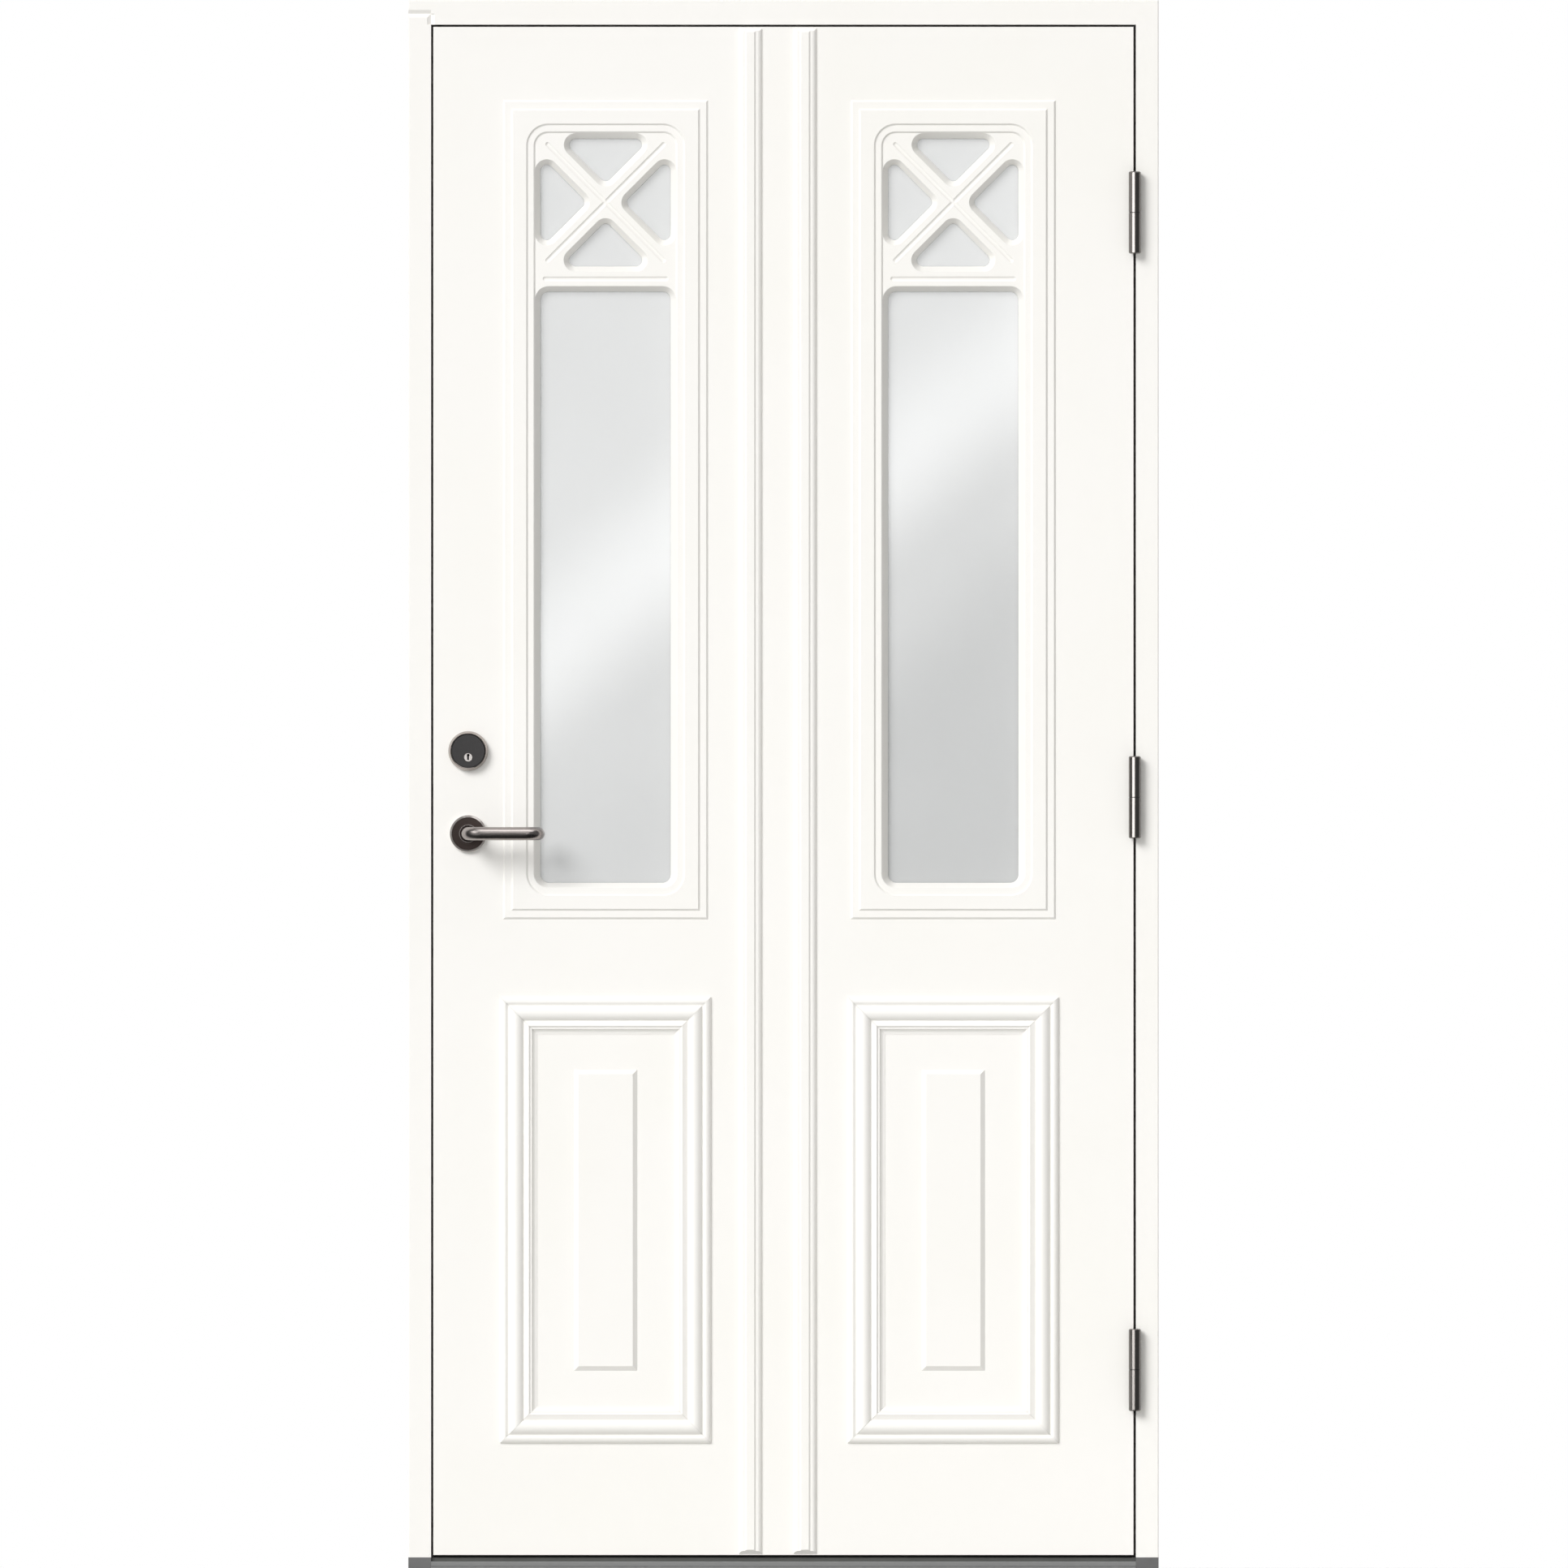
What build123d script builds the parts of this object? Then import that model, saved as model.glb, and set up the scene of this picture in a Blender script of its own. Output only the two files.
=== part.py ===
from build123d import *
import os
from math import atan2, degrees

# Glazed front door in its frame. One outward-opening leaf is dressed like a pair by two astragals.
# Millimetres. X runs across the door with the hinges at +X, -Y is the outside, +Z is up.
# The origin is the middle of the threshold's underside.

os.makedirs("parts", exist_ok=True)

# Frame
frame_width = 990.0
frame_height = 2080.0
frame_depth = 105.0
jamb_face = 30.0
head_face = 32.5
stop_step = 15.0
head_lap = 18.0
groove_width = 4.0
groove_depth = 6.0
corner_bevel = 5.3
head_bevel = 4.8
corner_bevel_depth = 3.0
front_arris = 1.5
inner_arris_radius = 2.0

# Threshold
threshold_height = 25.0
nosing_top = 19.8
sheet = 2.5
nosing_groove_low = 12.6
nosing_groove_high = 13.7
nosing_groove_depth = 1.2
cap_foot = 2.0
cap_arris = 0.6
strip_channel = (4.0, 10.0)
channel_depth = 2.5
strip_shoulder = 1.0
strip_gap = 0.3
tread_grooves = 5
tread_groove_start = 22.0
tread_groove_pitch = 6.0
tread_groove_radius = 0.7

# Leaf
leaf_thickness = 62.0
leaf_gap = 3.0
seal_gap = 2.5
skin = 6.0
lock_edge_bevel = 1.5
lock_stile_width = 90.0
hinge_stile_width = 62.0
top_rail_height = 60.0
bottom_rail_height = 80.0
skin_arris = 0.8
seal_groove = (14.0, 22.0)
seal_groove_depth = 8.0
seal_lip = (1.0, 2.2)
seal_lip_clearance = 0.1
seal_end_gap = 2.0

# Glazing
light_centres = (-234.7, 224.1)
light_height_centre = 1407.5
window_width = 206.0
window_height = 1014.0
spigot_clearance = 0.7
border_foot = (270.5, 1081.0)
border_crest = (249.0, 1058.3)
border_recess = (209.5, 1019.0)
border_floor = (190.1, 998.3)
recess_radius = 29.0
floor_radius = 19.0
border_step = 2.5
border_drop = 2.3
lattice_centre_z = 1813.0
lattice_half_width = 93.1
lattice_top = 91.3
lattice_bottom = 91.6
bar_half = 10.2
reveal_width = 7.2
triangle_radius = 15.4
light_top = 1702.5
light_bottom = 908.0
light_radius = 18.0
flute_width = 6.2
flute_depth = 1.6
flute_diagonal = 108.0
flute_level = 79.8
flute_rail_drop = 101.0
gasket = 1.5
pane = 4.0
unit_thickness = 38.0
pane_clearance = 3.0
spacer_edge = 3.0
spacer_width = 6.0
gasket_width = 11.0

# Panels and astragals
panel_centre_z = 470.0
panel_outer = (278.6, 588.8)
panel_mitre_gap = 0.15
strip_room = 20.0
tablet = (83.6, 397.3)
tablet_height = 5.0
tablet_bevel = 6.0
astragal_centres = (-43.6, 28.4)
astragal_width = 30.3
astragal_margin = 1.2
astragal_hip = 6.0
astragal_height = 6.6

# Lock and handle
lock_x = -416.0
handle_z = 980.0
cylinder_z = 1089.0
case_depth = 75.0
case_width = 15.0
case_bottom = 930.0
case_top = 1140.0
faceplate_thickness = 3.0
faceplate_width = 22.0
faceplate_length = 235.0
faceplate_centre_z = 1035.0
faceplate_screw_inset = 6.5
latch_size = (34.0, 11.0, 20.0)
bolt_size = (34.0, 11.0, 28.0)
latch_throw = 12.0
bolt_throw = 20.0
bolt_clearance = 0.3
latch_nose = (9.0, 7.5)
case_clearance = 0.5
case_corner = 6.0
hole_clearance = 1.0
strike_thickness = 2.0
strike_half_width = 11.0
strike_bottom = 925.0
strike_top = 1150.0
strike_screw_inset = 10.0
pocket_half_width = 8.0
pocket_clearance = 2.0
latch_pocket_half = 14.0
bolt_pocket_half = 18.0
spindle_side = 8.0
spindle_reach = 22.0
socket_reach = 24.0
follower_radius = 10.0
follower_clearance = 0.2
rose_radius = 24.5
rose_height = 8.0
lever_radius = 8.75
lever_projection = 49.0
lever_reach = 92.3
lever_return = 27.0
lever_bend = 16.0
neck_inset = 2.0
tip_radius = 3.5
collar_radius = 12.0
collar_height = 4.0
collar_gap = 0.4
rose_clearance = 0.3
ring_radius = 26.2
ring_height = 10.5
disc_radius = 22.1
disc_height = 9.0
barrel_radius = 17.0
plug_radius = 5.75
plug_drop = 8.4
plug_depth = 20.0
plug_stand = 0.6
plug_clearance = 0.1
keyway_half_width = 1.15
keyway_low = 3.4
keyway_eye_rise = 2.9
keyway_eye_radius = 1.7
keyway_end = 4.0
turn_shaft_radius = 4.0
turn_bore_clearance = 0.3
turn_hole_radius = 6.0
turn_shaft_stand = 6.0
knob = (34.0, 11.0, 16.6)
knob_gap = 0.4
knob_arris = 2.0

# Hinges
hinge_centres = {"upper": 1799.5, "middle": 1028.0, "lower": 272.5}
hinge_length = 108.4
hinge_axis_x = 463.5
hinge_axis_gap = 8.5
knuckle_radius = 8.0
wing_thickness = 2.5
wing_width = 36.5
washer = 0.8
pin_radius = 4.5
pin_half = 40.0
running_clearance = 0.05
screw_radius = 2.25
screw_head_radius = 4.5
screw_length = 25.0
countersink = 2.0
knuckle_arris = 1.3
wing_root = 6.0
washer_inset = 0.8
hinge_screw_spots = ((-42.0, -38.0), (-26.0, -14.0), (-42.0, 14.0), (-26.0, 38.0))

# Wall fixings
fixing_radius = 7.0
fixing_heights = (250.0, 800.0, 1350.0, 1850.0)
fixing_y = 34.0

# Planes worked out from the driving dimensions
front = -frame_depth / 2
back = frame_depth / 2
half = frame_width / 2
rebate_x = half - jamb_face
stop_x = rebate_x - stop_step
leaf_back = front + leaf_thickness
stop_y = leaf_back + seal_gap
middle_y = (front + leaf_back) / 2
leaf_x = rebate_x - leaf_gap
leaf_bottom = threshold_height + leaf_gap
head_under = frame_height - head_face
head_stop = head_under - stop_step
groove_near = stop_x + groove_width / 2
groove_far = groove_near + groove_width
groove_z = (head_stop + groove_width / 2, head_stop + groove_width * 1.5)
leaf_top = head_under - leaf_gap
leaf_height = leaf_top - leaf_bottom
lap_z = frame_height - head_lap
hinge_axis_y = front - hinge_axis_gap
face_x = -leaf_x + lock_edge_bevel * (faceplate_width / leaf_thickness + 1) / 2
unit_front = middle_y - unit_thickness / 2
unit_back = middle_y + unit_thickness / 2

front_plane = Plane.XZ.offset(-front)
mirror_plane = Plane.XZ.offset(-middle_y)


def block(x, y, z, mode=Mode.ADD):
    """A box between two limits along each axis."""
    with Locations((sum(x) / 2, sum(y) / 2, sum(z) / 2)):
        Box(x[1] - x[0], y[1] - y[0], z[1] - z[0], mode=mode)


def rod_y(x, z, y, radius, mode=Mode.ADD):
    """A cylinder through the door's thickness."""
    with Locations((x, sum(y) / 2, z)):
        Cylinder(radius, y[1] - y[0], rotation=(90, 0, 0), mode=mode)


def rod_x(x, y, z, radius, mode=Mode.ADD):
    """A cylinder across the door's width."""
    with Locations((sum(x) / 2, y, z)):
        Cylinder(radius, x[1] - x[0], rotation=(0, 90, 0), mode=mode)


def write(builder, label):
    """Names a finished piece and writes it to its own file."""
    builder.part.label = label
    export_step(builder.part, f"parts/{label}.step")


def lock_edge_x(y):
    """The lock edge leans in towards the inside, so the back corner clears the jamb."""
    return -leaf_x + lock_edge_bevel * (y - front) / leaf_thickness


def cone_ends(side):
    """Radii of a countersunk head that opens away from side +1 or -1."""
    return (screw_head_radius, screw_radius)[::side]


def hinge_screws(side, centre):
    """Countersunk screws through one hinge wing, driven into the timber at side +1 or -1."""
    face = hinge_axis_x + side * leaf_gap / 2
    for y, offset in hinge_screw_spots:
        tip = face + side * screw_length
        rod_x(sorted((face, tip)), y, centre + offset, screw_radius)
        with Locations(Location((face + side * countersink / 2, y, centre + offset), (0, 90, 0))):
            Cone(*cone_ends(side), countersink)


def cut_hinge(side):
    """Recess for each wing, with its screw holes."""
    face = hinge_axis_x + side * leaf_gap / 2
    for centre in hinge_centres.values():
        x = sorted((face - side, face + side * wing_thickness))
        z = (centre - hinge_length / 2, centre + hinge_length / 2)
        block(x, (front - 1, front + wing_width), z, Mode.SUBTRACT)
        for y, offset in hinge_screw_spots:
            tip = face + side * screw_length
            rod_x(sorted((face, tip)), y, centre + offset, screw_radius, Mode.SUBTRACT)


# Hinge-side jamb: rebate for the leaf, stop with a seal groove, wall fixing holes
def jamb_profile(side):
    """Plan section of a jamb, side +1 at the hinges and -1 at the lock."""
    with BuildSketch(Plane.XY.offset(threshold_height)) as profile:
        with BuildLine():
            Polyline(
                (side * half, front),
                (side * rebate_x, front),
                (side * rebate_x, stop_y),
                (side * stop_x, stop_y),
                (side * stop_x, back),
                (side * half, back),
                close=True,
            )
        make_face()
        with Locations((side * (groove_near + groove_far) / 2, stop_y + groove_depth / 2)):
            Rectangle(groove_width, groove_depth, mode=Mode.SUBTRACT)
    return profile.sketch


def cut_fixings(side):
    """Wall fixing holes through the stop."""
    for z in fixing_heights:
        x = sorted((side * (stop_x - 1), side * (half + 1)))
        rod_x(x, fixing_y, z, fixing_radius, Mode.SUBTRACT)


def ease_jamb(jamb, side):
    """Rounds the jamb's inner arris at the back and its outer arris at the front."""
    upright = jamb.edges().filter_by(Axis.Z)
    outward = slice(None, None, side)
    fillet(upright.group_by(Axis.Y)[-1].sort_by(Axis.X)[outward][0], inner_arris_radius)
    upright = jamb.edges().filter_by(Axis.Z)
    fillet(upright.group_by(Axis.Y)[0].sort_by(Axis.X)[outward][-1], front_arris)


with BuildPart() as hinge_jamb:
    extrude(jamb_profile(1), amount=lap_z - threshold_height)
    ease_jamb(hinge_jamb, 1)
    cut_hinge(1)
    cut_fixings(1)
write(hinge_jamb, "hinge_jamb")

# Lock-side jamb: the same section with the strike let in and pockets for both bolts
strike_x = -rebate_x - strike_thickness
strike_z = (strike_bottom, strike_top)
strike_y = (middle_y - strike_half_width, middle_y + strike_half_width)
latch_pocket_z = (handle_z - latch_pocket_half, handle_z + latch_pocket_half)
bolt_pocket_z = (cylinder_z - bolt_pocket_half, cylinder_z + bolt_pocket_half)
latch_pocket_x = (-rebate_x + leaf_gap - latch_throw - pocket_clearance, -rebate_x + 1)
bolt_pocket_x = (-rebate_x + leaf_gap - bolt_throw - pocket_clearance, -rebate_x + 1)
pocket_y = (middle_y - pocket_half_width, middle_y + pocket_half_width)
strike_screw_heights = (
    strike_bottom + strike_screw_inset,
    (latch_pocket_z[1] + bolt_pocket_z[0]) / 2,
    strike_top - strike_screw_inset,
)

with BuildPart() as lock_jamb:
    extrude(jamb_profile(-1), amount=lap_z - threshold_height)
    ease_jamb(lock_jamb, -1)
    block((strike_x, -rebate_x + 1), strike_y, strike_z, Mode.SUBTRACT)
    block(latch_pocket_x, pocket_y, latch_pocket_z, Mode.SUBTRACT)
    block(bolt_pocket_x, pocket_y, bolt_pocket_z, Mode.SUBTRACT)
    for screw_z in strike_screw_heights:
        rod_x((strike_x - screw_length, strike_x), middle_y, screw_z, screw_radius, Mode.SUBTRACT)
    cut_fixings(-1)
    # bevelled joint with the head: along the jamb's top, then down its inner edge
    with BuildSketch(Plane.YZ.offset(-half)):
        with BuildLine():
            Polyline(
                (front, lap_z),
                (front, lap_z - corner_bevel),
                (front + corner_bevel_depth, lap_z),
                close=True,
            )
        make_face()
    extrude(amount=jamb_face, mode=Mode.SUBTRACT)
    with BuildSketch(Plane.XY.offset(head_under)):
        with BuildLine():
            Polyline(
                (-rebate_x, front),
                (-rebate_x - corner_bevel, front),
                (-rebate_x, front + corner_bevel_depth),
                close=True,
            )
        make_face()
    extrude(amount=lap_z - head_under, mode=Mode.SUBTRACT)
write(lock_jamb, "lock_jamb")

# Head: laps over both jambs and fills between them
with BuildPart() as head:
    with BuildSketch(front_plane):
        with BuildLine():
            Polyline(
                (-half, frame_height),
                (half, frame_height),
                (half, lap_z),
                (rebate_x, lap_z),
                (rebate_x, head_under),
                (-rebate_x, head_under),
                (-rebate_x, lap_z),
                (-half, lap_z),
                close=True,
            )
        make_face()
    extrude(amount=-(stop_y - front))
    with BuildSketch(Plane.XZ.offset(-stop_y)):
        with BuildLine():
            Polyline(
                (-half, frame_height),
                (half, frame_height),
                (half, lap_z),
                (stop_x, lap_z),
                (stop_x, head_stop),
                (-stop_x, head_stop),
                (-stop_x, lap_z),
                (-half, lap_z),
                close=True,
            )
        make_face()
    extrude(amount=-(back - stop_y))
    block((-stop_x, stop_x), (stop_y, stop_y + groove_depth), groove_z, Mode.SUBTRACT)
    face_edges = head.faces().sort_by(Axis.Y)[0].edges()
    end_edges = face_edges.filter_by(Axis.Z).sort_by(Axis.X)
    fillet([face_edges.sort_by(Axis.Z)[-1], end_edges[0], end_edges[-1]], front_arris)
    with BuildSketch(Plane.YZ.offset(-half)):
        with BuildLine():
            Polyline(
                (front, lap_z),
                (front, lap_z + head_bevel),
                (front + corner_bevel_depth, lap_z),
                close=True,
            )
        make_face()
    extrude(amount=jamb_face, mode=Mode.SUBTRACT)
    with BuildSketch(Plane.XY.offset(head_under)):
        with BuildLine():
            Polyline(
                (-rebate_x, front),
                (-rebate_x + head_bevel, front),
                (-rebate_x, front + corner_bevel_depth),
                close=True,
            )
        make_face()
    extrude(amount=lap_z - head_under, mode=Mode.SUBTRACT)
write(head, "head")

# Threshold body: full blocks under the jambs, cut down between them for the cap
channel_front = front + strip_channel[0]
channel_back = front + strip_channel[1]
channel_floor = nosing_top - channel_depth
step_y = channel_back + sheet
under_nosing = channel_floor - sheet
under_tread = threshold_height - sheet
with BuildPart() as threshold_body:
    block((-half, half), (front, back), (0, threshold_height))
    with BuildSketch(Plane.YZ.offset(-rebate_x)):
        with BuildLine():
            Polyline(
                (front - 1, -1),
                (front + sheet, -1),
                (front + sheet, under_nosing),
                (step_y, under_nosing),
                (step_y, under_tread),
                (back - sheet, under_tread),
                (back - sheet, -1),
                (back + 1, -1),
                (back + 1, threshold_height + 1),
                (front - 1, threshold_height + 1),
                close=True,
            )
        make_face()
    extrude(amount=2 * rebate_x, mode=Mode.SUBTRACT)
write(threshold_body, "threshold_body")

# Aluminium cap: a nosing with a groove, a channel for the strip and a flat tread
with BuildPart() as threshold_cap:
    with BuildSketch(Plane.YZ.offset(-rebate_x)):
        with BuildLine():
            Polyline(
                (front + sheet, cap_foot),
                (front, cap_foot),
                (front, nosing_groove_low),
                (front + nosing_groove_depth, nosing_groove_low),
                (front + nosing_groove_depth, nosing_groove_high),
                (front, nosing_groove_high),
                (front, nosing_top - cap_arris),
                (front + cap_arris, nosing_top),
                (channel_front, nosing_top),
                (channel_front, channel_floor),
                (channel_back, channel_floor),
                (channel_back, threshold_height - cap_arris),
                (channel_back + cap_arris, threshold_height),
                (back - cap_arris, threshold_height),
                (back, threshold_height - cap_arris),
                (back, cap_foot),
                (back - sheet, cap_foot),
                (back - sheet, under_tread),
                (step_y, under_tread),
                (step_y, under_nosing),
                (front + sheet, under_nosing),
                close=True,
            )
        make_face()
        groove_spots = [front + tread_groove_start + tread_groove_pitch * n for n in range(tread_grooves)]
        with Locations(*[(y, threshold_height) for y in groove_spots]):
            Circle(tread_groove_radius, mode=Mode.SUBTRACT)
    extrude(amount=2 * rebate_x)
write(threshold_cap, "threshold_cap")

strip_top = threshold_height - strip_gap
with BuildPart() as threshold_strip:
    with BuildSketch(Plane.YZ.offset(-rebate_x)):
        with BuildLine():
            Polyline(
                (channel_front, channel_floor),
                (channel_front, strip_top - strip_shoulder),
                (channel_front + strip_shoulder, strip_top),
                (channel_back, strip_top),
                (channel_back, channel_floor),
                close=True,
            )
        make_face()
    extrude(amount=2 * rebate_x)
write(threshold_strip, "threshold_strip")

# Frame seal: one gasket round three sides, its tongue in the groove and its bulb against the leaf
bulb = (1.0, 9.0)
bulb_gap = 0.3
bulb_arris = 1.0
with BuildPart() as frame_seal:
    with BuildSketch(Plane.XZ.offset(-stop_y)):
        with BuildLine():
            Polyline(
                (-stop_x - bulb[0], threshold_height),
                (-stop_x - bulb[1], threshold_height),
                (-stop_x - bulb[1], head_stop + bulb[1]),
                (stop_x + bulb[1], head_stop + bulb[1]),
                (stop_x + bulb[1], threshold_height),
                (stop_x + bulb[0], threshold_height),
                (stop_x + bulb[0], head_stop + bulb[0]),
                (-stop_x - bulb[0], head_stop + bulb[0]),
                close=True,
            )
        make_face()
    extrude(amount=seal_gap - bulb_gap)
    chamfer(frame_seal.faces().sort_by(Axis.Y)[0].edges(), bulb_arris)
    tongue = (stop_y, stop_y + groove_depth)
    block((-groove_far, -groove_near), tongue, (threshold_height, groove_z[1]))
    block((groove_near, groove_far), tongue, (threshold_height, groove_z[1]))
    block((-stop_x, stop_x), tongue, groove_z)
write(frame_seal, "frame_seal")

# Strike plate and its screws
with BuildPart() as strike_plate:
    block((strike_x, -rebate_x), strike_y, strike_z)
    block((strike_x - 1, -rebate_x + 1), pocket_y, latch_pocket_z, Mode.SUBTRACT)
    block((strike_x - 1, -rebate_x + 1), pocket_y, bolt_pocket_z, Mode.SUBTRACT)
    for screw_z in strike_screw_heights:
        with Locations(Location((strike_x + countersink / 2, middle_y, screw_z), (0, 90, 0))):
            Cone(*cone_ends(-1), countersink, mode=Mode.SUBTRACT)
write(strike_plate, "strike_plate")

with BuildPart() as strike_screws:
    for screw_z in strike_screw_heights:
        rod_x((strike_x - screw_length, strike_x), middle_y, screw_z, screw_radius)
        with Locations(Location((strike_x + countersink / 2, middle_y, screw_z), (0, 90, 0))):
            Cone(*cone_ends(-1), countersink)
write(strike_screws, "strike_screws")


# Hinges: a wing let into each edge, a knuckle each, a pin fixed in the lower knuckle
def hinge_half(centre, side):
    """Frame half (side +1, lower knuckle) or leaf half (side -1, upper knuckle) of one hinge."""
    face = hinge_axis_x + side * leaf_gap / 2
    low = centre - hinge_length / 2
    high = centre + hinge_length / 2
    knuckle = (low, centre - washer / 2) if side > 0 else (centre + washer / 2, high)
    bore = pin_radius if side > 0 else pin_radius + running_clearance
    with BuildPart() as half_hinge:
        with BuildSketch(Plane.XY.offset(knuckle[0])):
            with Locations((hinge_axis_x, hinge_axis_y)):
                Circle(knuckle_radius)
        extrude(amount=knuckle[1] - knuckle[0])
        end = half_hinge.edges().filter_by(GeomType.CIRCLE).sort_by(Axis.Z)[0 if side > 0 else -1]
        chamfer(end, knuckle_arris)
        x = sorted((face, face + side * wing_thickness))
        block(x, (hinge_axis_y + wing_root, front), knuckle)
        block(x, (front, front + wing_width), (low, high))
        with Locations((hinge_axis_x, hinge_axis_y, centre)):
            Cylinder(bore, 2 * pin_half + 1.0, mode=Mode.SUBTRACT)
        for y, offset in hinge_screw_spots:
            with Locations(Location((face + side * countersink / 2, y, centre + offset), (0, 90, 0))):
                Cone(*cone_ends(side), countersink, mode=Mode.SUBTRACT)
            rod_x(x, y, centre + offset, screw_radius, Mode.SUBTRACT)
    return half_hinge


for place, centre in hinge_centres.items():
    write(hinge_half(centre, 1), f"hinge_frame_{place}")
    write(hinge_half(centre, -1), f"hinge_leaf_{place}")

with BuildPart() as hinge_pins:
    for centre in hinge_centres.values():
        with Locations((hinge_axis_x, hinge_axis_y, centre)):
            Cylinder(pin_radius, 2 * pin_half)
write(hinge_pins, "hinge_pins")

with BuildPart() as hinge_washers:
    for centre in hinge_centres.values():
        with BuildSketch(Plane.XY.offset(centre - washer / 2)):
            with Locations((hinge_axis_x, hinge_axis_y)):
                Circle(knuckle_radius - washer_inset)
                Circle(pin_radius, mode=Mode.SUBTRACT)
        extrude(amount=washer)
write(hinge_washers, "hinge_washers")

with BuildPart() as hinge_screws_frame:
    for centre in hinge_centres.values():
        hinge_screws(1, centre)
write(hinge_screws_frame, "hinge_screws_frame")

with BuildPart() as hinge_screws_leaf:
    for centre in hinge_centres.values():
        hinge_screws(-1, centre)
write(hinge_screws_leaf, "hinge_screws_leaf")

# Leaf: two skins on a timber frame with an insulating core
core_front = front + skin
core_back = leaf_back - skin
case_x = (face_x + faceplate_thickness, face_x + faceplate_thickness + case_depth)
case_y = (middle_y - case_width / 2, middle_y + case_width / 2)
barrel_hole_radius = barrel_radius + hole_clearance
follower_hole_radius = follower_radius + hole_clearance


def layer(y):
    """A full sheet of the leaf between two depths."""
    with BuildSketch(Plane.XY.offset(leaf_bottom)) as plan:
        with BuildLine():
            Polyline(
                (lock_edge_x(y[0]), y[0]),
                (leaf_x, y[0]),
                (leaf_x, y[1]),
                (lock_edge_x(y[1]), y[1]),
                close=True,
            )
        make_face()
    extrude(plan.sketch, amount=leaf_height)


def cut_windows(y):
    """Both window openings through a layer."""
    for x in light_centres:
        across = (x - window_width / 2, x + window_width / 2)
        up = (light_height_centre - window_height / 2, light_height_centre + window_height / 2)
        block(across, (y[0] - 1, y[1] + 1), up, Mode.SUBTRACT)


with BuildPart() as outer_skin:
    layer((front, core_front))
    fillet(outer_skin.faces().sort_by(Axis.Y)[0].edges(), skin_arris)
    cut_windows((front, core_front))
    cut_hinge(-1)
    rod_y(lock_x, cylinder_z, (front - 1, core_front + 1), barrel_hole_radius, Mode.SUBTRACT)
    rod_y(lock_x, handle_z, (front - 1, core_front + 1), follower_hole_radius, Mode.SUBTRACT)
write(outer_skin, "outer_skin")

with BuildPart() as inner_skin:
    layer((core_back, leaf_back))
    cut_windows((core_back, leaf_back))
    rod_y(lock_x, cylinder_z, (core_back - 1, leaf_back + 1), turn_hole_radius, Mode.SUBTRACT)
    rod_y(lock_x, handle_z, (core_back - 1, leaf_back + 1), follower_hole_radius, Mode.SUBTRACT)
write(inner_skin, "inner_skin")

seal_x = (-leaf_x + seal_end_gap, leaf_x - seal_end_gap)
seal_y = (front + seal_groove[0], front + seal_groove[1])
seal_z = (leaf_bottom, leaf_bottom + seal_groove_depth)
lip_z = threshold_height + seal_lip_clearance


def cut_seal_groove():
    """Groove for the sweep seal, from edge to edge of the leaf."""
    block((-leaf_x - 1, leaf_x + 1), seal_y, (leaf_bottom - 1, seal_z[1]), Mode.SUBTRACT)


with BuildPart() as hinge_stile:
    block((leaf_x - hinge_stile_width, leaf_x), (core_front, core_back), (leaf_bottom, leaf_top))
    cut_hinge(-1)
    cut_seal_groove()
write(hinge_stile, "hinge_stile")

lock_stile_inner = -leaf_x + lock_stile_width
faceplate_low = faceplate_centre_z - faceplate_length / 2
faceplate_high = faceplate_centre_z + faceplate_length / 2
faceplate_z = (faceplate_low, faceplate_high)
faceplate_y = (middle_y - faceplate_width / 2, middle_y + faceplate_width / 2)
faceplate_screw_heights = (faceplate_low + faceplate_screw_inset, faceplate_high - faceplate_screw_inset)
with BuildPart() as lock_stile:
    with BuildSketch(Plane.XY.offset(leaf_bottom)):
        with BuildLine():
            Polyline(
                (lock_edge_x(core_front), core_front),
                (lock_stile_inner, core_front),
                (lock_stile_inner, core_back),
                (lock_edge_x(core_back), core_back),
                close=True,
            )
        make_face()
    extrude(amount=leaf_height)
    block((-leaf_x - 1, face_x + faceplate_thickness), faceplate_y, faceplate_z, Mode.SUBTRACT)
    room_x = (case_x[0] - 1, case_x[1] + case_clearance)
    room_y = (case_y[0] - case_clearance, case_y[1] + case_clearance)
    room_z = (case_bottom - case_clearance, case_top + case_clearance)
    block(room_x, room_y, room_z, Mode.SUBTRACT)
    rod_y(lock_x, cylinder_z, (core_front - 1, middle_y), barrel_hole_radius, Mode.SUBTRACT)
    rod_y(lock_x, cylinder_z, (middle_y, core_back + 1), turn_hole_radius, Mode.SUBTRACT)
    rod_y(lock_x, handle_z, (core_front - 1, core_back + 1), follower_hole_radius, Mode.SUBTRACT)
    cut_seal_groove()
    for screw_z in faceplate_screw_heights:
        screw_x = (face_x + faceplate_thickness, face_x + faceplate_thickness + screw_length)
        rod_x(screw_x, middle_y, screw_z, screw_radius, Mode.SUBTRACT)
write(lock_stile, "lock_stile")

rail_x = (lock_stile_inner, leaf_x - hinge_stile_width)
with BuildPart() as top_rail:
    block(rail_x, (core_front, core_back), (leaf_top - top_rail_height, leaf_top))
write(top_rail, "top_rail")

# The sweep seal sits in a groove along the leaf's whole bottom edge
with BuildPart() as bottom_rail:
    block(rail_x, (core_front, core_back), (leaf_bottom, leaf_bottom + bottom_rail_height))
    cut_seal_groove()
write(bottom_rail, "bottom_rail")

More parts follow.
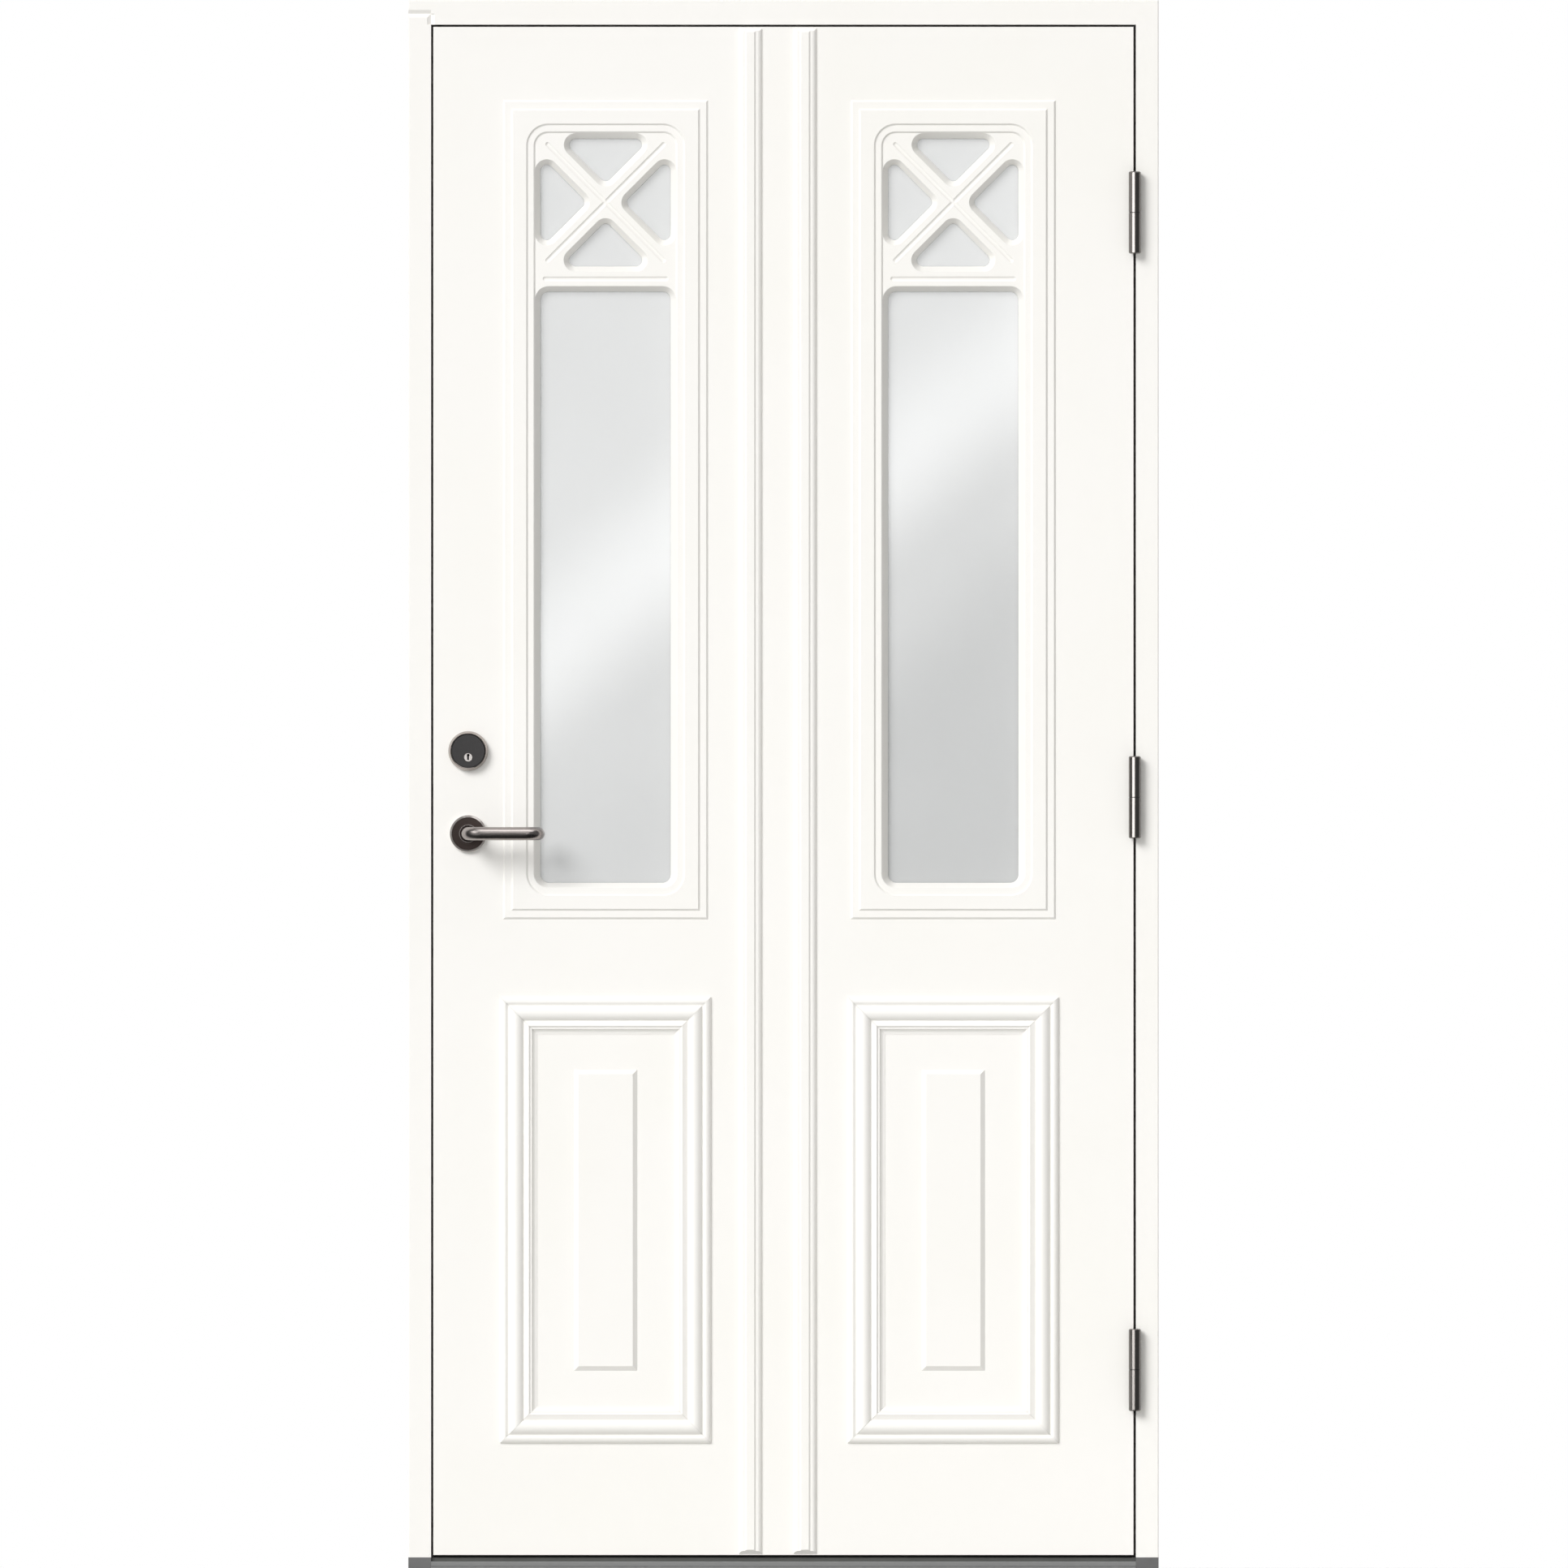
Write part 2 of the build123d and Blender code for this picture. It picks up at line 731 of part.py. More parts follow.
with BuildPart() as sweep_seal:
    with BuildSketch(Plane.YZ.offset(seal_x[0])):
        with BuildLine():
            Polyline(
                (seal_y[0], seal_z[0]),
                (seal_y[0], seal_z[1]),
                (seal_y[1], seal_z[1]),
                (seal_y[1], seal_z[0]),
                (seal_y[1] - seal_lip[0], lip_z),
                (seal_y[1] - seal_lip[1], lip_z),
                (seal_y[1] - seal_lip[1], seal_z[0]),
                (seal_y[0] + seal_lip[1], seal_z[0]),
                (seal_y[0] + seal_lip[1], lip_z),
                (seal_y[0] + seal_lip[0], lip_z),
                close=True,
            )
        make_face()
    extrude(amount=seal_x[1] - seal_x[0])
write(sweep_seal, "sweep_seal")

with BuildPart() as insulation_core:
    core_z = (leaf_bottom + bottom_rail_height, leaf_top - top_rail_height)
    block(rail_x, (core_front, core_back), core_z)
    cut_windows((core_front, core_back))
write(insulation_core, "insulation_core")


# Glazing frames: stepped border, cross of St Andrew with flutes, tall light below
def triangle(corners, plane):
    """One rounded triangle of the cross, on the plane of the lattice."""
    with BuildSketch(plane) as outline:
        with BuildLine():
            points = [(x, lattice_centre_z - light_height_centre + z) for x, z in corners]
            FilletPolyline(*points, radius=triangle_radius, close=True)
        make_face()
    return outline.sketch


def openings(plane):
    """The four triangles and the tall light below them."""
    tip = bar_half * 2**0.5
    side, up, down = lattice_half_width, lattice_top, lattice_bottom
    with BuildSketch(plane) as light:
        with Locations((0, (light_top + light_bottom) / 2 - light_height_centre)):
            RectangleRounded(2 * side, light_top - light_bottom, light_radius)
    return [
        triangle(((0, tip), (up - tip, up), (tip - up, up)), plane),
        triangle(((0, -tip), (tip - down, -down), (down - tip, -down)), plane),
        triangle(((-tip, 0), (-side, side - tip), (-side, tip - side)), plane),
        triangle(((tip, 0), (side, tip - side), (side, side - tip)), plane),
        light.sketch,
    ]


def cut_flutes(plane):
    """Shallow round-ended grooves along both bars and along the rail under the cross."""
    radius = ((flute_width / 2) ** 2 + flute_depth**2) / (2 * flute_depth)
    lift = radius - flute_depth
    cross = lattice_centre_z - light_height_centre
    diagonal = flute_diagonal / 2**0.5
    ends = (
        ((-diagonal, cross - diagonal), (diagonal, cross + diagonal)),
        ((-diagonal, cross + diagonal), (diagonal, cross - diagonal)),
        ((-flute_level, cross - flute_rail_drop), (flute_level, cross - flute_rail_drop)),
    )
    for start, finish in ends:
        a = plane.from_local_coords((*start, lift))
        b = plane.from_local_coords((*finish, lift))
        along = b - a
        across = Plane(origin=a, z_dir=along)
        with BuildSketch(across) as round_section:
            Circle(radius)
        extrude(round_section.sketch, amount=along.length, mode=Mode.SUBTRACT)
        with Locations(a, b):
            Sphere(radius, mode=Mode.SUBTRACT)


def glazing_frame(centre_x):
    """Outer glazing frame of one light."""
    plane = Plane(origin=(centre_x, front, light_height_centre), x_dir=(1, 0, 0), z_dir=(0, -1, 0))
    crest = 2 * border_step
    lattice = crest - 2 * border_drop
    spigot_back = unit_front - gasket - front
    with BuildPart() as frame:
        with BuildSketch(plane):
            Rectangle(*border_foot)
        extrude(amount=border_step, taper=45)
        with BuildSketch(plane.offset(border_step)):
            Rectangle(*border_crest)
        extrude(amount=border_step, taper=45)
        with BuildSketch(plane):
            Rectangle(window_width - 2 * spigot_clearance, window_height - 2 * spigot_clearance)
        extrude(amount=-spigot_back)
        with BuildSketch(plane.offset(crest)):
            RectangleRounded(*border_recess, recess_radius)
        extrude(amount=-border_drop, taper=45, mode=Mode.SUBTRACT)
        with BuildSketch(plane.offset(crest - border_drop)):
            RectangleRounded(*border_floor, floor_radius)
        extrude(amount=-border_drop, taper=45, mode=Mode.SUBTRACT)
        reveal_depth = lattice + spigot_back
        reveal_angle = degrees(atan2(reveal_width, reveal_depth))
        for outline in openings(plane.offset(lattice)):
            extrude(outline, amount=-reveal_depth, taper=reveal_angle, mode=Mode.SUBTRACT)
            extrude(outline, amount=1.0, mode=Mode.SUBTRACT)
        cut_flutes(plane.offset(lattice))
    return frame


for name, centre_x in zip(("left", "right"), light_centres):
    write(glazing_frame(centre_x), f"outer_glazing_frame_{name}")

for name, centre_x in zip(("left", "right"), light_centres):
    with BuildPart() as inner_frame:
        mirror(glazing_frame(centre_x).part, about=mirror_plane)
    write(inner_frame, f"inner_glazing_frame_{name}")


# Sealed units: three panes, two spacers, a gasket on either face
def ring(plane, outer, inner, depth):
    """A rectangular ring that reaches back from a plane."""
    with BuildSketch(plane) as outline:
        Rectangle(*outer)
        Rectangle(*inner, mode=Mode.SUBTRACT)
    extrude(outline.sketch, amount=-depth)


def inset(size, edge):
    """A rectangle's width and height, less an edge all round."""
    return tuple(length - 2 * edge for length in size)


pane_size = inset((window_width, window_height), pane_clearance)
spacer_outer = inset(pane_size, spacer_edge)
spacer_inner = inset(spacer_outer, spacer_width)
gasket_inner = inset(pane_size, gasket_width)
cavity = (unit_thickness - 3 * pane) / 2
for name, centre_x in zip(("left", "right"), light_centres):
    across = (centre_x - pane_size[0] / 2, centre_x + pane_size[0] / 2)
    up = (light_height_centre - pane_size[1] / 2, light_height_centre + pane_size[1] / 2)
    with BuildPart() as glass:
        for n in range(3):
            near = unit_front + n * (pane + cavity)
            block(across, (near, near + pane), up)
    write(glass, f"glass_{name}")
    unit_plane = Plane(origin=(centre_x, 0, light_height_centre), x_dir=(1, 0, 0), z_dir=(0, -1, 0))
    with BuildPart() as spacers:
        for n in range(2):
            near = unit_front + pane + n * (pane + cavity)
            ring(unit_plane.offset(-near), spacer_outer, spacer_inner, cavity)
    write(spacers, f"spacers_{name}")
    with BuildPart() as gaskets:
        ring(unit_plane.offset(-(unit_front - gasket)), pane_size, gasket_inner, gasket)
        ring(unit_plane.offset(-unit_back), pane_size, gasket_inner, gasket)
    write(gaskets, f"gaskets_{name}")


# Panel mouldings: one profile run round four sides and mitred
def moulding_profile(plane):
    """Section of the panel moulding: distance in from its outer edge, height off the leaf."""
    with BuildSketch(plane) as profile:
        with BuildLine():
            Line((0, 0), (0, 0.8))
            ThreePointArc((0, 0.8), (2.2, 4.2), (6.2, 5.6))
            Line((6.2, 5.6), (7.4, 5.6))
            Line((7.4, 5.6), (10.4, 3.8))
            Line((10.4, 3.8), (11.8, 3.8))
            ThreePointArc((11.8, 3.8), (21.2, 9.4), (30.8, 3.6))
            Line((30.8, 3.6), (38.0, 6.4))
            Line((38.0, 6.4), (40.2, 4.6))
            Line((40.2, 4.6), (42.0, 4.6))
            ThreePointArc((42.0, 4.6), (44.4, 1.9), (48.0, 0.7))
            Line((48.0, 0.7), (48.7, 0.7))
            Line((48.7, 0.7), (48.7, 0))
            Line((48.7, 0), (0, 0))
        make_face()
    return profile.sketch


def panel_moulding(centre_x):
    """Four mitred strips round one panel."""
    reach_x = panel_outer[0] / 2
    reach_z = panel_outer[1] / 2
    sides = (
        (Vector(-1, 0, 0), reach_x, reach_z),
        (Vector(1, 0, 0), reach_x, reach_z),
        (Vector(0, 0, -1), reach_z, reach_x),
        (Vector(0, 0, 1), reach_z, reach_x),
    )
    strips = []
    for outward, reach, span in sides:
        centre = Vector(centre_x, front, panel_centre_z)
        along = Vector(0, -1, 0).cross(outward)
        start = centre + outward * reach - along * span
        with BuildPart() as strip:
            section = moulding_profile(Plane(origin=start, x_dir=-outward, z_dir=along))
            extrude(section, amount=2 * span)
            with BuildSketch(Plane(origin=start, x_dir=along, z_dir=(0, -1, 0))) as mitre:
                with BuildLine():
                    Polyline(
                        (panel_mitre_gap, 0),
                        (2 * span - panel_mitre_gap, 0),
                        (span + strip_room, span - strip_room - panel_mitre_gap),
                        (span - strip_room, span - strip_room - panel_mitre_gap),
                        close=True,
                    )
                make_face()
            extrude(mitre.sketch, amount=strip_room, both=True, mode=Mode.INTERSECT)
        strips.append(strip.part)
    return strips


for name, centre_x in zip(("left", "right"), light_centres):
    with BuildPart() as moulding:
        add(panel_moulding(centre_x))
    write(moulding, f"panel_moulding_{name}")
    with BuildPart() as raised_panel:
        on_leaf = Plane(origin=(centre_x, front, panel_centre_z), x_dir=(1, 0, 0), z_dir=(0, -1, 0))
        with BuildSketch(on_leaf):
            Rectangle(*tablet)
        extrude(amount=tablet_height, taper=degrees(atan2(tablet_bevel, tablet_height)))
    write(raised_panel, f"raised_panel_{name}")

# Astragals: a flat-topped strip with a quirk and a quarter round down each side, hipped at both ends
for name, centre_x in zip(("left", "right"), astragal_centres):
    with BuildPart() as astragal:
        with BuildSketch(Plane(origin=(centre_x, front, leaf_bottom), x_dir=(1, 0, 0), z_dir=(0, 0, 1))):
            with BuildLine():
                edge = astragal_width / 2
                Line((-edge, 0), (-edge, -0.6))
                ThreePointArc((-edge, -0.6), (-edge + 2.0, -3.4), (-edge + 6.5, -4.8))
                Line((-edge + 6.5, -4.8), (-edge + 8.0, -4.8))
                Line((-edge + 8.0, -4.8), (-edge + 10.2, -astragal_height))
                Line((-edge + 10.2, -astragal_height), (0, -astragal_height))
                mirror(about=Plane.YZ)
                Line((-edge, 0), (edge, 0))
            make_face()
        extrude(amount=leaf_height)
        with BuildSketch(Plane.YZ.offset(centre_x - astragal_width)):
            with BuildLine():
                low = leaf_bottom + astragal_margin
                high = leaf_top - astragal_margin
                Polyline(
                    (front, low),
                    (front - astragal_height, low + astragal_hip),
                    (front - astragal_height, high - astragal_hip),
                    (front, high),
                    close=True,
                )
            make_face()
        extrude(amount=2 * astragal_width, mode=Mode.INTERSECT)
    write(astragal, f"astragal_{name}")

# Lock case with channels for both bolts, a bore for the follower and a blind bore for the thumb-turn
latch_x = (face_x, face_x + latch_size[0])
bolt_x = (face_x, face_x + bolt_size[0])


def bolt_room(size):
    """Width and height of the channel round a bolt, as half sizes."""
    return size[1] / 2 + bolt_clearance, size[2] / 2 + bolt_clearance


with BuildPart() as lock_case:
    block(case_x, case_y, (case_bottom, case_top))
    fillet(lock_case.edges().filter_by(Axis.Y).group_by(Axis.X)[-1], case_corner)
    for size, z in ((latch_size, handle_z), (bolt_size, cylinder_z)):
        wide, tall = bolt_room(size)
        channel = (case_x[0] - 1, face_x + size[0] + case_clearance)
        block(channel, (middle_y - wide, middle_y + wide), (z - tall, z + tall), Mode.SUBTRACT)
    follower_bore = follower_radius + follower_clearance
    rod_y(lock_x, handle_z, (case_y[0] - 1, case_y[1] + 1), follower_bore, Mode.SUBTRACT)
    turn_bore = turn_shaft_radius + turn_bore_clearance
    rod_y(lock_x, cylinder_z, (middle_y, case_y[1] + 1), turn_bore, Mode.SUBTRACT)
write(lock_case, "lock_case")

with BuildPart() as lock_faceplate:
    block((face_x, face_x + faceplate_thickness), faceplate_y, faceplate_z)
    for size, z in ((latch_size, handle_z), (bolt_size, cylinder_z)):
        wide, tall = bolt_room(size)
        through = (face_x - 1, case_x[0] + 1)
        block(through, (middle_y - wide, middle_y + wide), (z - tall, z + tall), Mode.SUBTRACT)
    for screw_z in faceplate_screw_heights:
        rod_x((face_x, case_x[0]), middle_y, screw_z, screw_radius, Mode.SUBTRACT)
        with Locations(Location((face_x + countersink / 2, middle_y, screw_z), (0, 90, 0))):
            Cone(*cone_ends(1), countersink, mode=Mode.SUBTRACT)
write(lock_faceplate, "lock_faceplate")

with BuildPart() as faceplate_screws:
    for screw_z in faceplate_screw_heights:
        rod_x((face_x, case_x[0] + screw_length), middle_y, screw_z, screw_radius)
        with Locations(Location((face_x + countersink / 2, middle_y, screw_z), (0, 90, 0))):
            Cone(*cone_ends(1), countersink)
write(faceplate_screws, "faceplate_screws")

# The latch bolt's nose is bevelled on the side that meets the strike first
with BuildPart() as latch_bolt:
    block(
        latch_x,
        (middle_y - latch_size[1] / 2, middle_y + latch_size[1] / 2),
        (handle_z - latch_size[2] / 2, handle_z + latch_size[2] / 2),
    )
    nose = latch_bolt.edges().filter_by(Axis.Z).group_by(Axis.X)[0].sort_by(Axis.Y)[-1]
    chamfer(nose, *latch_nose)
write(latch_bolt, "latch_bolt")

with BuildPart() as deadbolt:
    block(
        bolt_x,
        (middle_y - bolt_size[1] / 2, middle_y + bolt_size[1] / 2),
        (cylinder_z - bolt_size[2] / 2, cylinder_z + bolt_size[2] / 2),
    )
    chamfer(deadbolt.faces().sort_by(Axis.X)[0].edges(), 0.8)
write(deadbolt, "deadbolt")



def square_bar(y, mode=Mode.ADD):
    """The spindle's square between two depths."""
    side = spindle_side / 2
    block((lock_x - side, lock_x + side), y, (handle_z - side, handle_z + side), mode)


with BuildPart() as lock_follower:
    rod_y(lock_x, handle_z, case_y, follower_radius)
    square_bar((case_y[0] - 1, case_y[1] + 1), Mode.SUBTRACT)
write(lock_follower, "lock_follower")


# Handle: a round rose each side, a bent tube lever each side, one square spindle
def turned(z, y, points):
    """A turned piece about the lock axis at height z: points are radius and height off a face at y."""
    sign = -1 if y < middle_y else 1
    with BuildSketch(Plane(origin=(lock_x, y, z), x_dir=(1, 0, 0), z_dir=(0, 0, 1))) as section:
        with BuildLine():
            Polyline(*[(radius, sign * height) for radius, height in points], close=True)
        make_face()
    revolve(section.sketch, axis=Axis((lock_x, y, z), (0, 1, 0)))


rose_bore = lever_radius + rose_clearance
rose_points = (
    (rose_bore, 0),
    (rose_radius, 0),
    (rose_radius, rose_height - 3.4),
    (rose_radius - 0.5, rose_height - 2.4),
    (rose_radius - 3.0, rose_height),
    (rose_bore, rose_height),
)
with BuildPart() as outer_rose:
    turned(handle_z, front, rose_points)
write(outer_rose, "outer_rose")

with BuildPart() as inner_rose:
    turned(handle_z, leaf_back, rose_points)
write(inner_rose, "inner_rose")


def lever(face, sign):
    """Tube lever bent from its neck across the door and back towards it."""
    neck = face - sign * neck_inset
    grip = face + sign * lever_projection
    end = grip - sign * lever_return
    with BuildPart() as handle:
        with BuildLine() as path:
            FilletPolyline(
                (lock_x, neck, handle_z),
                (lock_x, grip, handle_z),
                (lock_x + lever_reach, grip, handle_z),
                (lock_x + lever_reach, end, handle_z),
                radius=lever_bend,
            )
        with BuildSketch(Plane(origin=(lock_x, neck, handle_z), x_dir=(1, 0, 0), z_dir=(0, sign, 0))):
            Circle(lever_radius)
        sweep(path=path.line)
        tip = handle.faces().filter_by(GeomType.PLANE).sort_by(Axis.X)[-1]
        fillet(tip.edges(), tip_radius)
        collar = face + sign * (rose_height + collar_gap)
        rod_y(lock_x, handle_z, sorted((collar, collar + sign * collar_height)), collar_radius)
        square_bar(sorted((neck - sign, face + sign * socket_reach)), Mode.SUBTRACT)
    return handle


write(lever(front, -1), "outer_lever")
write(lever(leaf_back, 1), "inner_lever")

with BuildPart() as spindle:
    square_bar((front - spindle_reach, leaf_back + spindle_reach))
write(spindle, "spindle")

# Cylinder: a bevelled ring round a dark disc with the key plug below its middle
with BuildPart() as cylinder_ring:
    ring_points = (
        (disc_radius + 0.2, 0),
        (ring_radius, 0),
        (ring_radius, 3.0),
        (ring_radius - 0.8, 5.5),
        (ring_radius - 2.4, ring_height - 0.6),
        (ring_radius - 3.0, ring_height),
        (disc_radius + 0.2, ring_height - 0.8),
    )
    turned(cylinder_z, front, ring_points)
write(cylinder_ring, "cylinder_ring")

plug_z = cylinder_z - plug_drop
plug_back = front + plug_depth
with BuildPart() as cylinder_housing:
    rod_y(lock_x, cylinder_z, (front - disc_height, front), disc_radius)
    rod_y(lock_x, cylinder_z, (front, case_y[0]), barrel_radius)
    chamfer(cylinder_housing.faces().sort_by(Axis.Y)[0].edges(), 0.5)
    plug_bore = plug_radius + plug_clearance
    rod_y(lock_x, plug_z, (front - disc_height - 1, plug_back), plug_bore, Mode.SUBTRACT)
write(cylinder_housing, "cylinder_housing")

with BuildPart() as key_plug:
    rod_y(lock_x, plug_z, (front - disc_height - plug_stand, plug_back), plug_radius)
    chamfer(key_plug.faces().sort_by(Axis.Y)[0].edges(), 0.4)
    slot_x = (lock_x - keyway_half_width, lock_x + keyway_half_width)
    slot_y = (front - disc_height - 2, plug_back - keyway_end)
    eye_z = plug_z + keyway_eye_rise
    block(slot_x, slot_y, (plug_z - keyway_low, eye_z), Mode.SUBTRACT)
    rod_y(lock_x, eye_z, slot_y, keyway_eye_radius, Mode.SUBTRACT)
write(key_plug, "key_plug")

# Thumb-turn on its own rose inside
thumb_bore = turn_shaft_radius + running_clearance
with BuildPart() as thumbturn_rose:
    turned(cylinder_z, leaf_back, [(thumb_bore, 0), *rose_points[1:-1], (thumb_bore, rose_height)])
write(thumbturn_rose, "thumbturn_rose")

with BuildPart() as thumbturn:
    rose_face = leaf_back + rose_height
    rod_y(lock_x, cylinder_z, (middle_y + 1.0, rose_face + turn_shaft_stand), turn_shaft_radius)
    with BuildSketch(Plane.XZ.offset(-(rose_face + knob_gap))):
        with Locations((lock_x, cylinder_z)):
            SlotOverall(knob[0], knob[1], rotation=90)
    extrude(amount=-knob[2])
    fillet(thumbturn.faces().sort_by(Axis.Y)[-1].edges(), knob_arris)
write(thumbturn, "thumbturn")
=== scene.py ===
"""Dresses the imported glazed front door, adds its smallest fittings, lights it and sets the camera.

Metres throughout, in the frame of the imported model: X runs across the door with the hinges at +X, -Y is
the outside and +Z is up. Sizes that a maker gives in millimetres are written so and turned by mm().
"""

import logging
import math
from dataclasses import dataclass
from enum import Enum

import bmesh
import bpy
from mathutils import Matrix, Vector

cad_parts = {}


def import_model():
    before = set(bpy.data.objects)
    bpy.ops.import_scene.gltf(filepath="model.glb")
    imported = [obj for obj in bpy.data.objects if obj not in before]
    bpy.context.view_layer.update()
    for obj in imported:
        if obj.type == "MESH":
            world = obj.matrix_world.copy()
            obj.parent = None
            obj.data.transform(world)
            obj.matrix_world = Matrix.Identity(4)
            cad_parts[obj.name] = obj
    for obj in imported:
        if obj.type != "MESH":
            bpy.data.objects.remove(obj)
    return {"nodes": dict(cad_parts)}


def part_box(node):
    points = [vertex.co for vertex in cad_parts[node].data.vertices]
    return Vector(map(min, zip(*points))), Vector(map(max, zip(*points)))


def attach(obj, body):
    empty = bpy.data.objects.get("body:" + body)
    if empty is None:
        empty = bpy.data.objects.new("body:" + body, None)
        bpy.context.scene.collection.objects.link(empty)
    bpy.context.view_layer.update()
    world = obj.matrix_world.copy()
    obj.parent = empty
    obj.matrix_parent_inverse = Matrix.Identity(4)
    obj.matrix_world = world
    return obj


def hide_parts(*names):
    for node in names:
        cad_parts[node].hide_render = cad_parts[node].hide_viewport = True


LOG = logging.getLogger("front_door")

BEVEL_SAMPLES = 6

# Places of a colour Mix node's sockets, which share their names with those of its other kinds.
MIX_SHARE, MIX_FIRST, MIX_SECOND, MIX_RESULT = 0, 6, 7, 2

Pair = tuple[float, float]
Triple = tuple[float, float, float]
Colour = tuple[float, float, float, float]
Nodes = dict[str, bpy.types.Object]
Stops = list[tuple[float, Colour]]
Links = dict[str | int, bpy.types.NodeSocket]
Values = dict[str | int, object]


def mm(value: float) -> float:
    """Turns millimetres to metres."""
    return value / 1000.0


def per_metre(spacing_mm: float) -> float:
    """Scale of a texture node whose features repeat about every spacing_mm millimetres."""
    return 1000.0 / spacing_mm


def linear(colour: str) -> Colour:
    """Turns an sRGB hex colour to the linear colour that Blender's sockets hold.

    Args:
        colour: The colour as '#RRGGBB'.

    Returns:
        Red, green, blue and an alpha of 1, linear.
    """
    parts = [int(colour[n : n + 2], 16) / 255.0 for n in (1, 3, 5)]
    red, green, blue = (p / 12.92 if p <= 0.04045 else ((p + 0.055) / 1.055) ** 2.4 for p in parts)
    return red, green, blue, 1.0


def grey(level: float) -> Colour:
    """A linear grey."""
    return level, level, level, 1.0


def ramp_stops(places: Pair, colours: tuple[str, str]) -> Stops:
    """The two stops of a ramp between two colours.

    Args:
        places: Where the ramp leaves the first colour and reaches the second, 0 to 1.
        colours: The colours as '#RRGGBB'.

    Returns:
        The stops.
    """
    return [(place, linear(colour)) for place, colour in zip(places, colours)]


def spread_round(level: float, spread: Pair) -> Values:
    """The range of a Map Range node that varies round a level.

    Args:
        level: The level.
        spread: How far it goes below the level and above it.

    Returns:
        The node's values.
    """
    below, above = spread
    return {"To Min": level - below, "To Max": level + above}


def add_node(
    tree: bpy.types.NodeTree,
    kind: str,
    links: Links | None = None,
    values: Values | None = None,
    stops: Stops | None = None,
    **settings: object,
) -> bpy.types.Node:
    """Adds one node with its settings, values and links.

    Args:
        tree: The node tree that the node joins.
        kind: The node's type, such as 'ShaderNodeBump'.
        links: Input to the socket that feeds it.
        values: Input to its fixed value.
        stops: Places and linear colours of its ramp, where it has one.
        **settings: Properties of the node itself.

    Returns:
        The new node.
    """
    made = tree.nodes.new(kind)
    for name, value in settings.items():
        setattr(made, name, value)
    for name, value in (values or {}).items():
        made.inputs[name].default_value = value
    for name, socket in (links or {}).items():
        tree.links.new(socket, made.inputs[name])
    if stops:
        elements = made.color_ramp.elements
        while len(elements) < len(stops):
            elements.new(0.5)
        for element, (place, colour) in zip(elements, stops):
            element.position, element.color = place, colour
    return made


class Surface:
    """A material being built: its tree, its shader and the object's own coordinates."""

    def __init__(self, name: str) -> None:
        """Starts the material.

        Args:
            name: The finish's name.
        """
        self.material = bpy.data.materials.new(name)
        self.material.use_nodes = True
        self.tree = self.material.node_tree
        self.shader = self.tree.nodes["Principled BSDF"]
        self.place = add_node(self.tree, "ShaderNodeTexCoord").outputs["Object"]

    def set(self, **values: object) -> None:
        """Sets the shader's own sockets, named with underscores for spaces."""
        for name, value in values.items():
            self.shader.inputs[name.replace("_", " ")].default_value = value

    def feed(self, name: str, socket: bpy.types.NodeSocket) -> None:
        """Links a socket to one of the shader's inputs."""
        self.tree.links.new(socket, self.shader.inputs[name])

    def show(self, shader: bpy.types.NodeSocket) -> None:
        """Makes another shader the one that the material shows."""
        self.tree.links.new(shader, self.tree.nodes["Material Output"].inputs["Surface"])

    def relieve(
        self, height: bpy.types.NodeSocket, depth_mm: float, arris_mm: float, share: float = 0.4
    ) -> None:
        """Gives the surface a fine relief over softened arrises.

        Args:
            height: The relief, 0 to 1.
            depth_mm: How deep it is.
            arris_mm: Radius of the arrises.
            share: How much of the relief shows.
        """
        radius = {"Radius": mm(arris_mm)}
        arris = add_node(self.tree, "ShaderNodeBevel", None, radius, samples=BEVEL_SAMPLES)
        links: Links = {"Height": height, "Normal": arris.outputs["Normal"]}
        values = {"Strength": share, "Distance": mm(depth_mm)}
        self.feed("Normal", add_node(self.tree, "ShaderNodeBump", links, values).outputs["Normal"])


class Lay(Enum):
    """Direction that a brushed metal's scratches run in, as the stretch of their pattern along each axis."""

    ACROSS = (1.0, 30.0, 30.0)
    UPRIGHT = (30.0, 30.0, 1.0)
    TUMBLED = (6.0, 6.0, 6.0)


@dataclass(frozen=True)
class SprayedPaint:
    """Semi-matt two-pack paint, sprayed on fibreboard, moulding and timber.

    A warm white with a soft sheen. Its orange peel, a few millimetres wide, breaks up the sheen, and
    the coat rounds every arris a little.
    """

    name: str = "sprayed_white_paint"
    colour: str = "#FBF9F5"
    shade: str = "#FAF8F3"
    tone_places: Pair = (0.35, 0.6)
    roughness: float = 0.45
    sheen_spread: Pair = (0.03, 0.05)
    specular: float = 0.35
    peel_mm: float = 2.4
    peel_depth_mm: float = 0.012
    cloud_mm: float = 260.0
    arris_mm: float = 0.2

    def build(self) -> bpy.types.Material:
        """Builds the paint.

        Returns:
            The material.
        """
        coat = Surface(self.name)
        place: Links = {"Vector": coat.place}
        slow = {"Scale": per_metre(self.cloud_mm)}
        cloud = add_node(coat.tree, "ShaderNodeTexNoise", place, slow).outputs["Fac"]
        peel = add_node(coat.tree, "ShaderNodeTexNoise", place, {"Scale": per_metre(self.peel_mm)})
        tones = ramp_stops(self.tone_places, (self.shade, self.colour))
        shade = add_node(coat.tree, "ShaderNodeValToRGB", {"Fac": cloud}, None, tones)
        coat.feed("Base Color", shade.outputs["Color"])
        sheen = spread_round(self.roughness, self.sheen_spread)
        dull = add_node(coat.tree, "ShaderNodeMapRange", {"Value": cloud}, sheen)
        coat.feed("Roughness", dull.outputs["Result"])
        coat.relieve(peel.outputs["Fac"], self.peel_depth_mm, self.arris_mm)
        coat.set(Specular_IOR_Level=self.specular)
        return coat.material


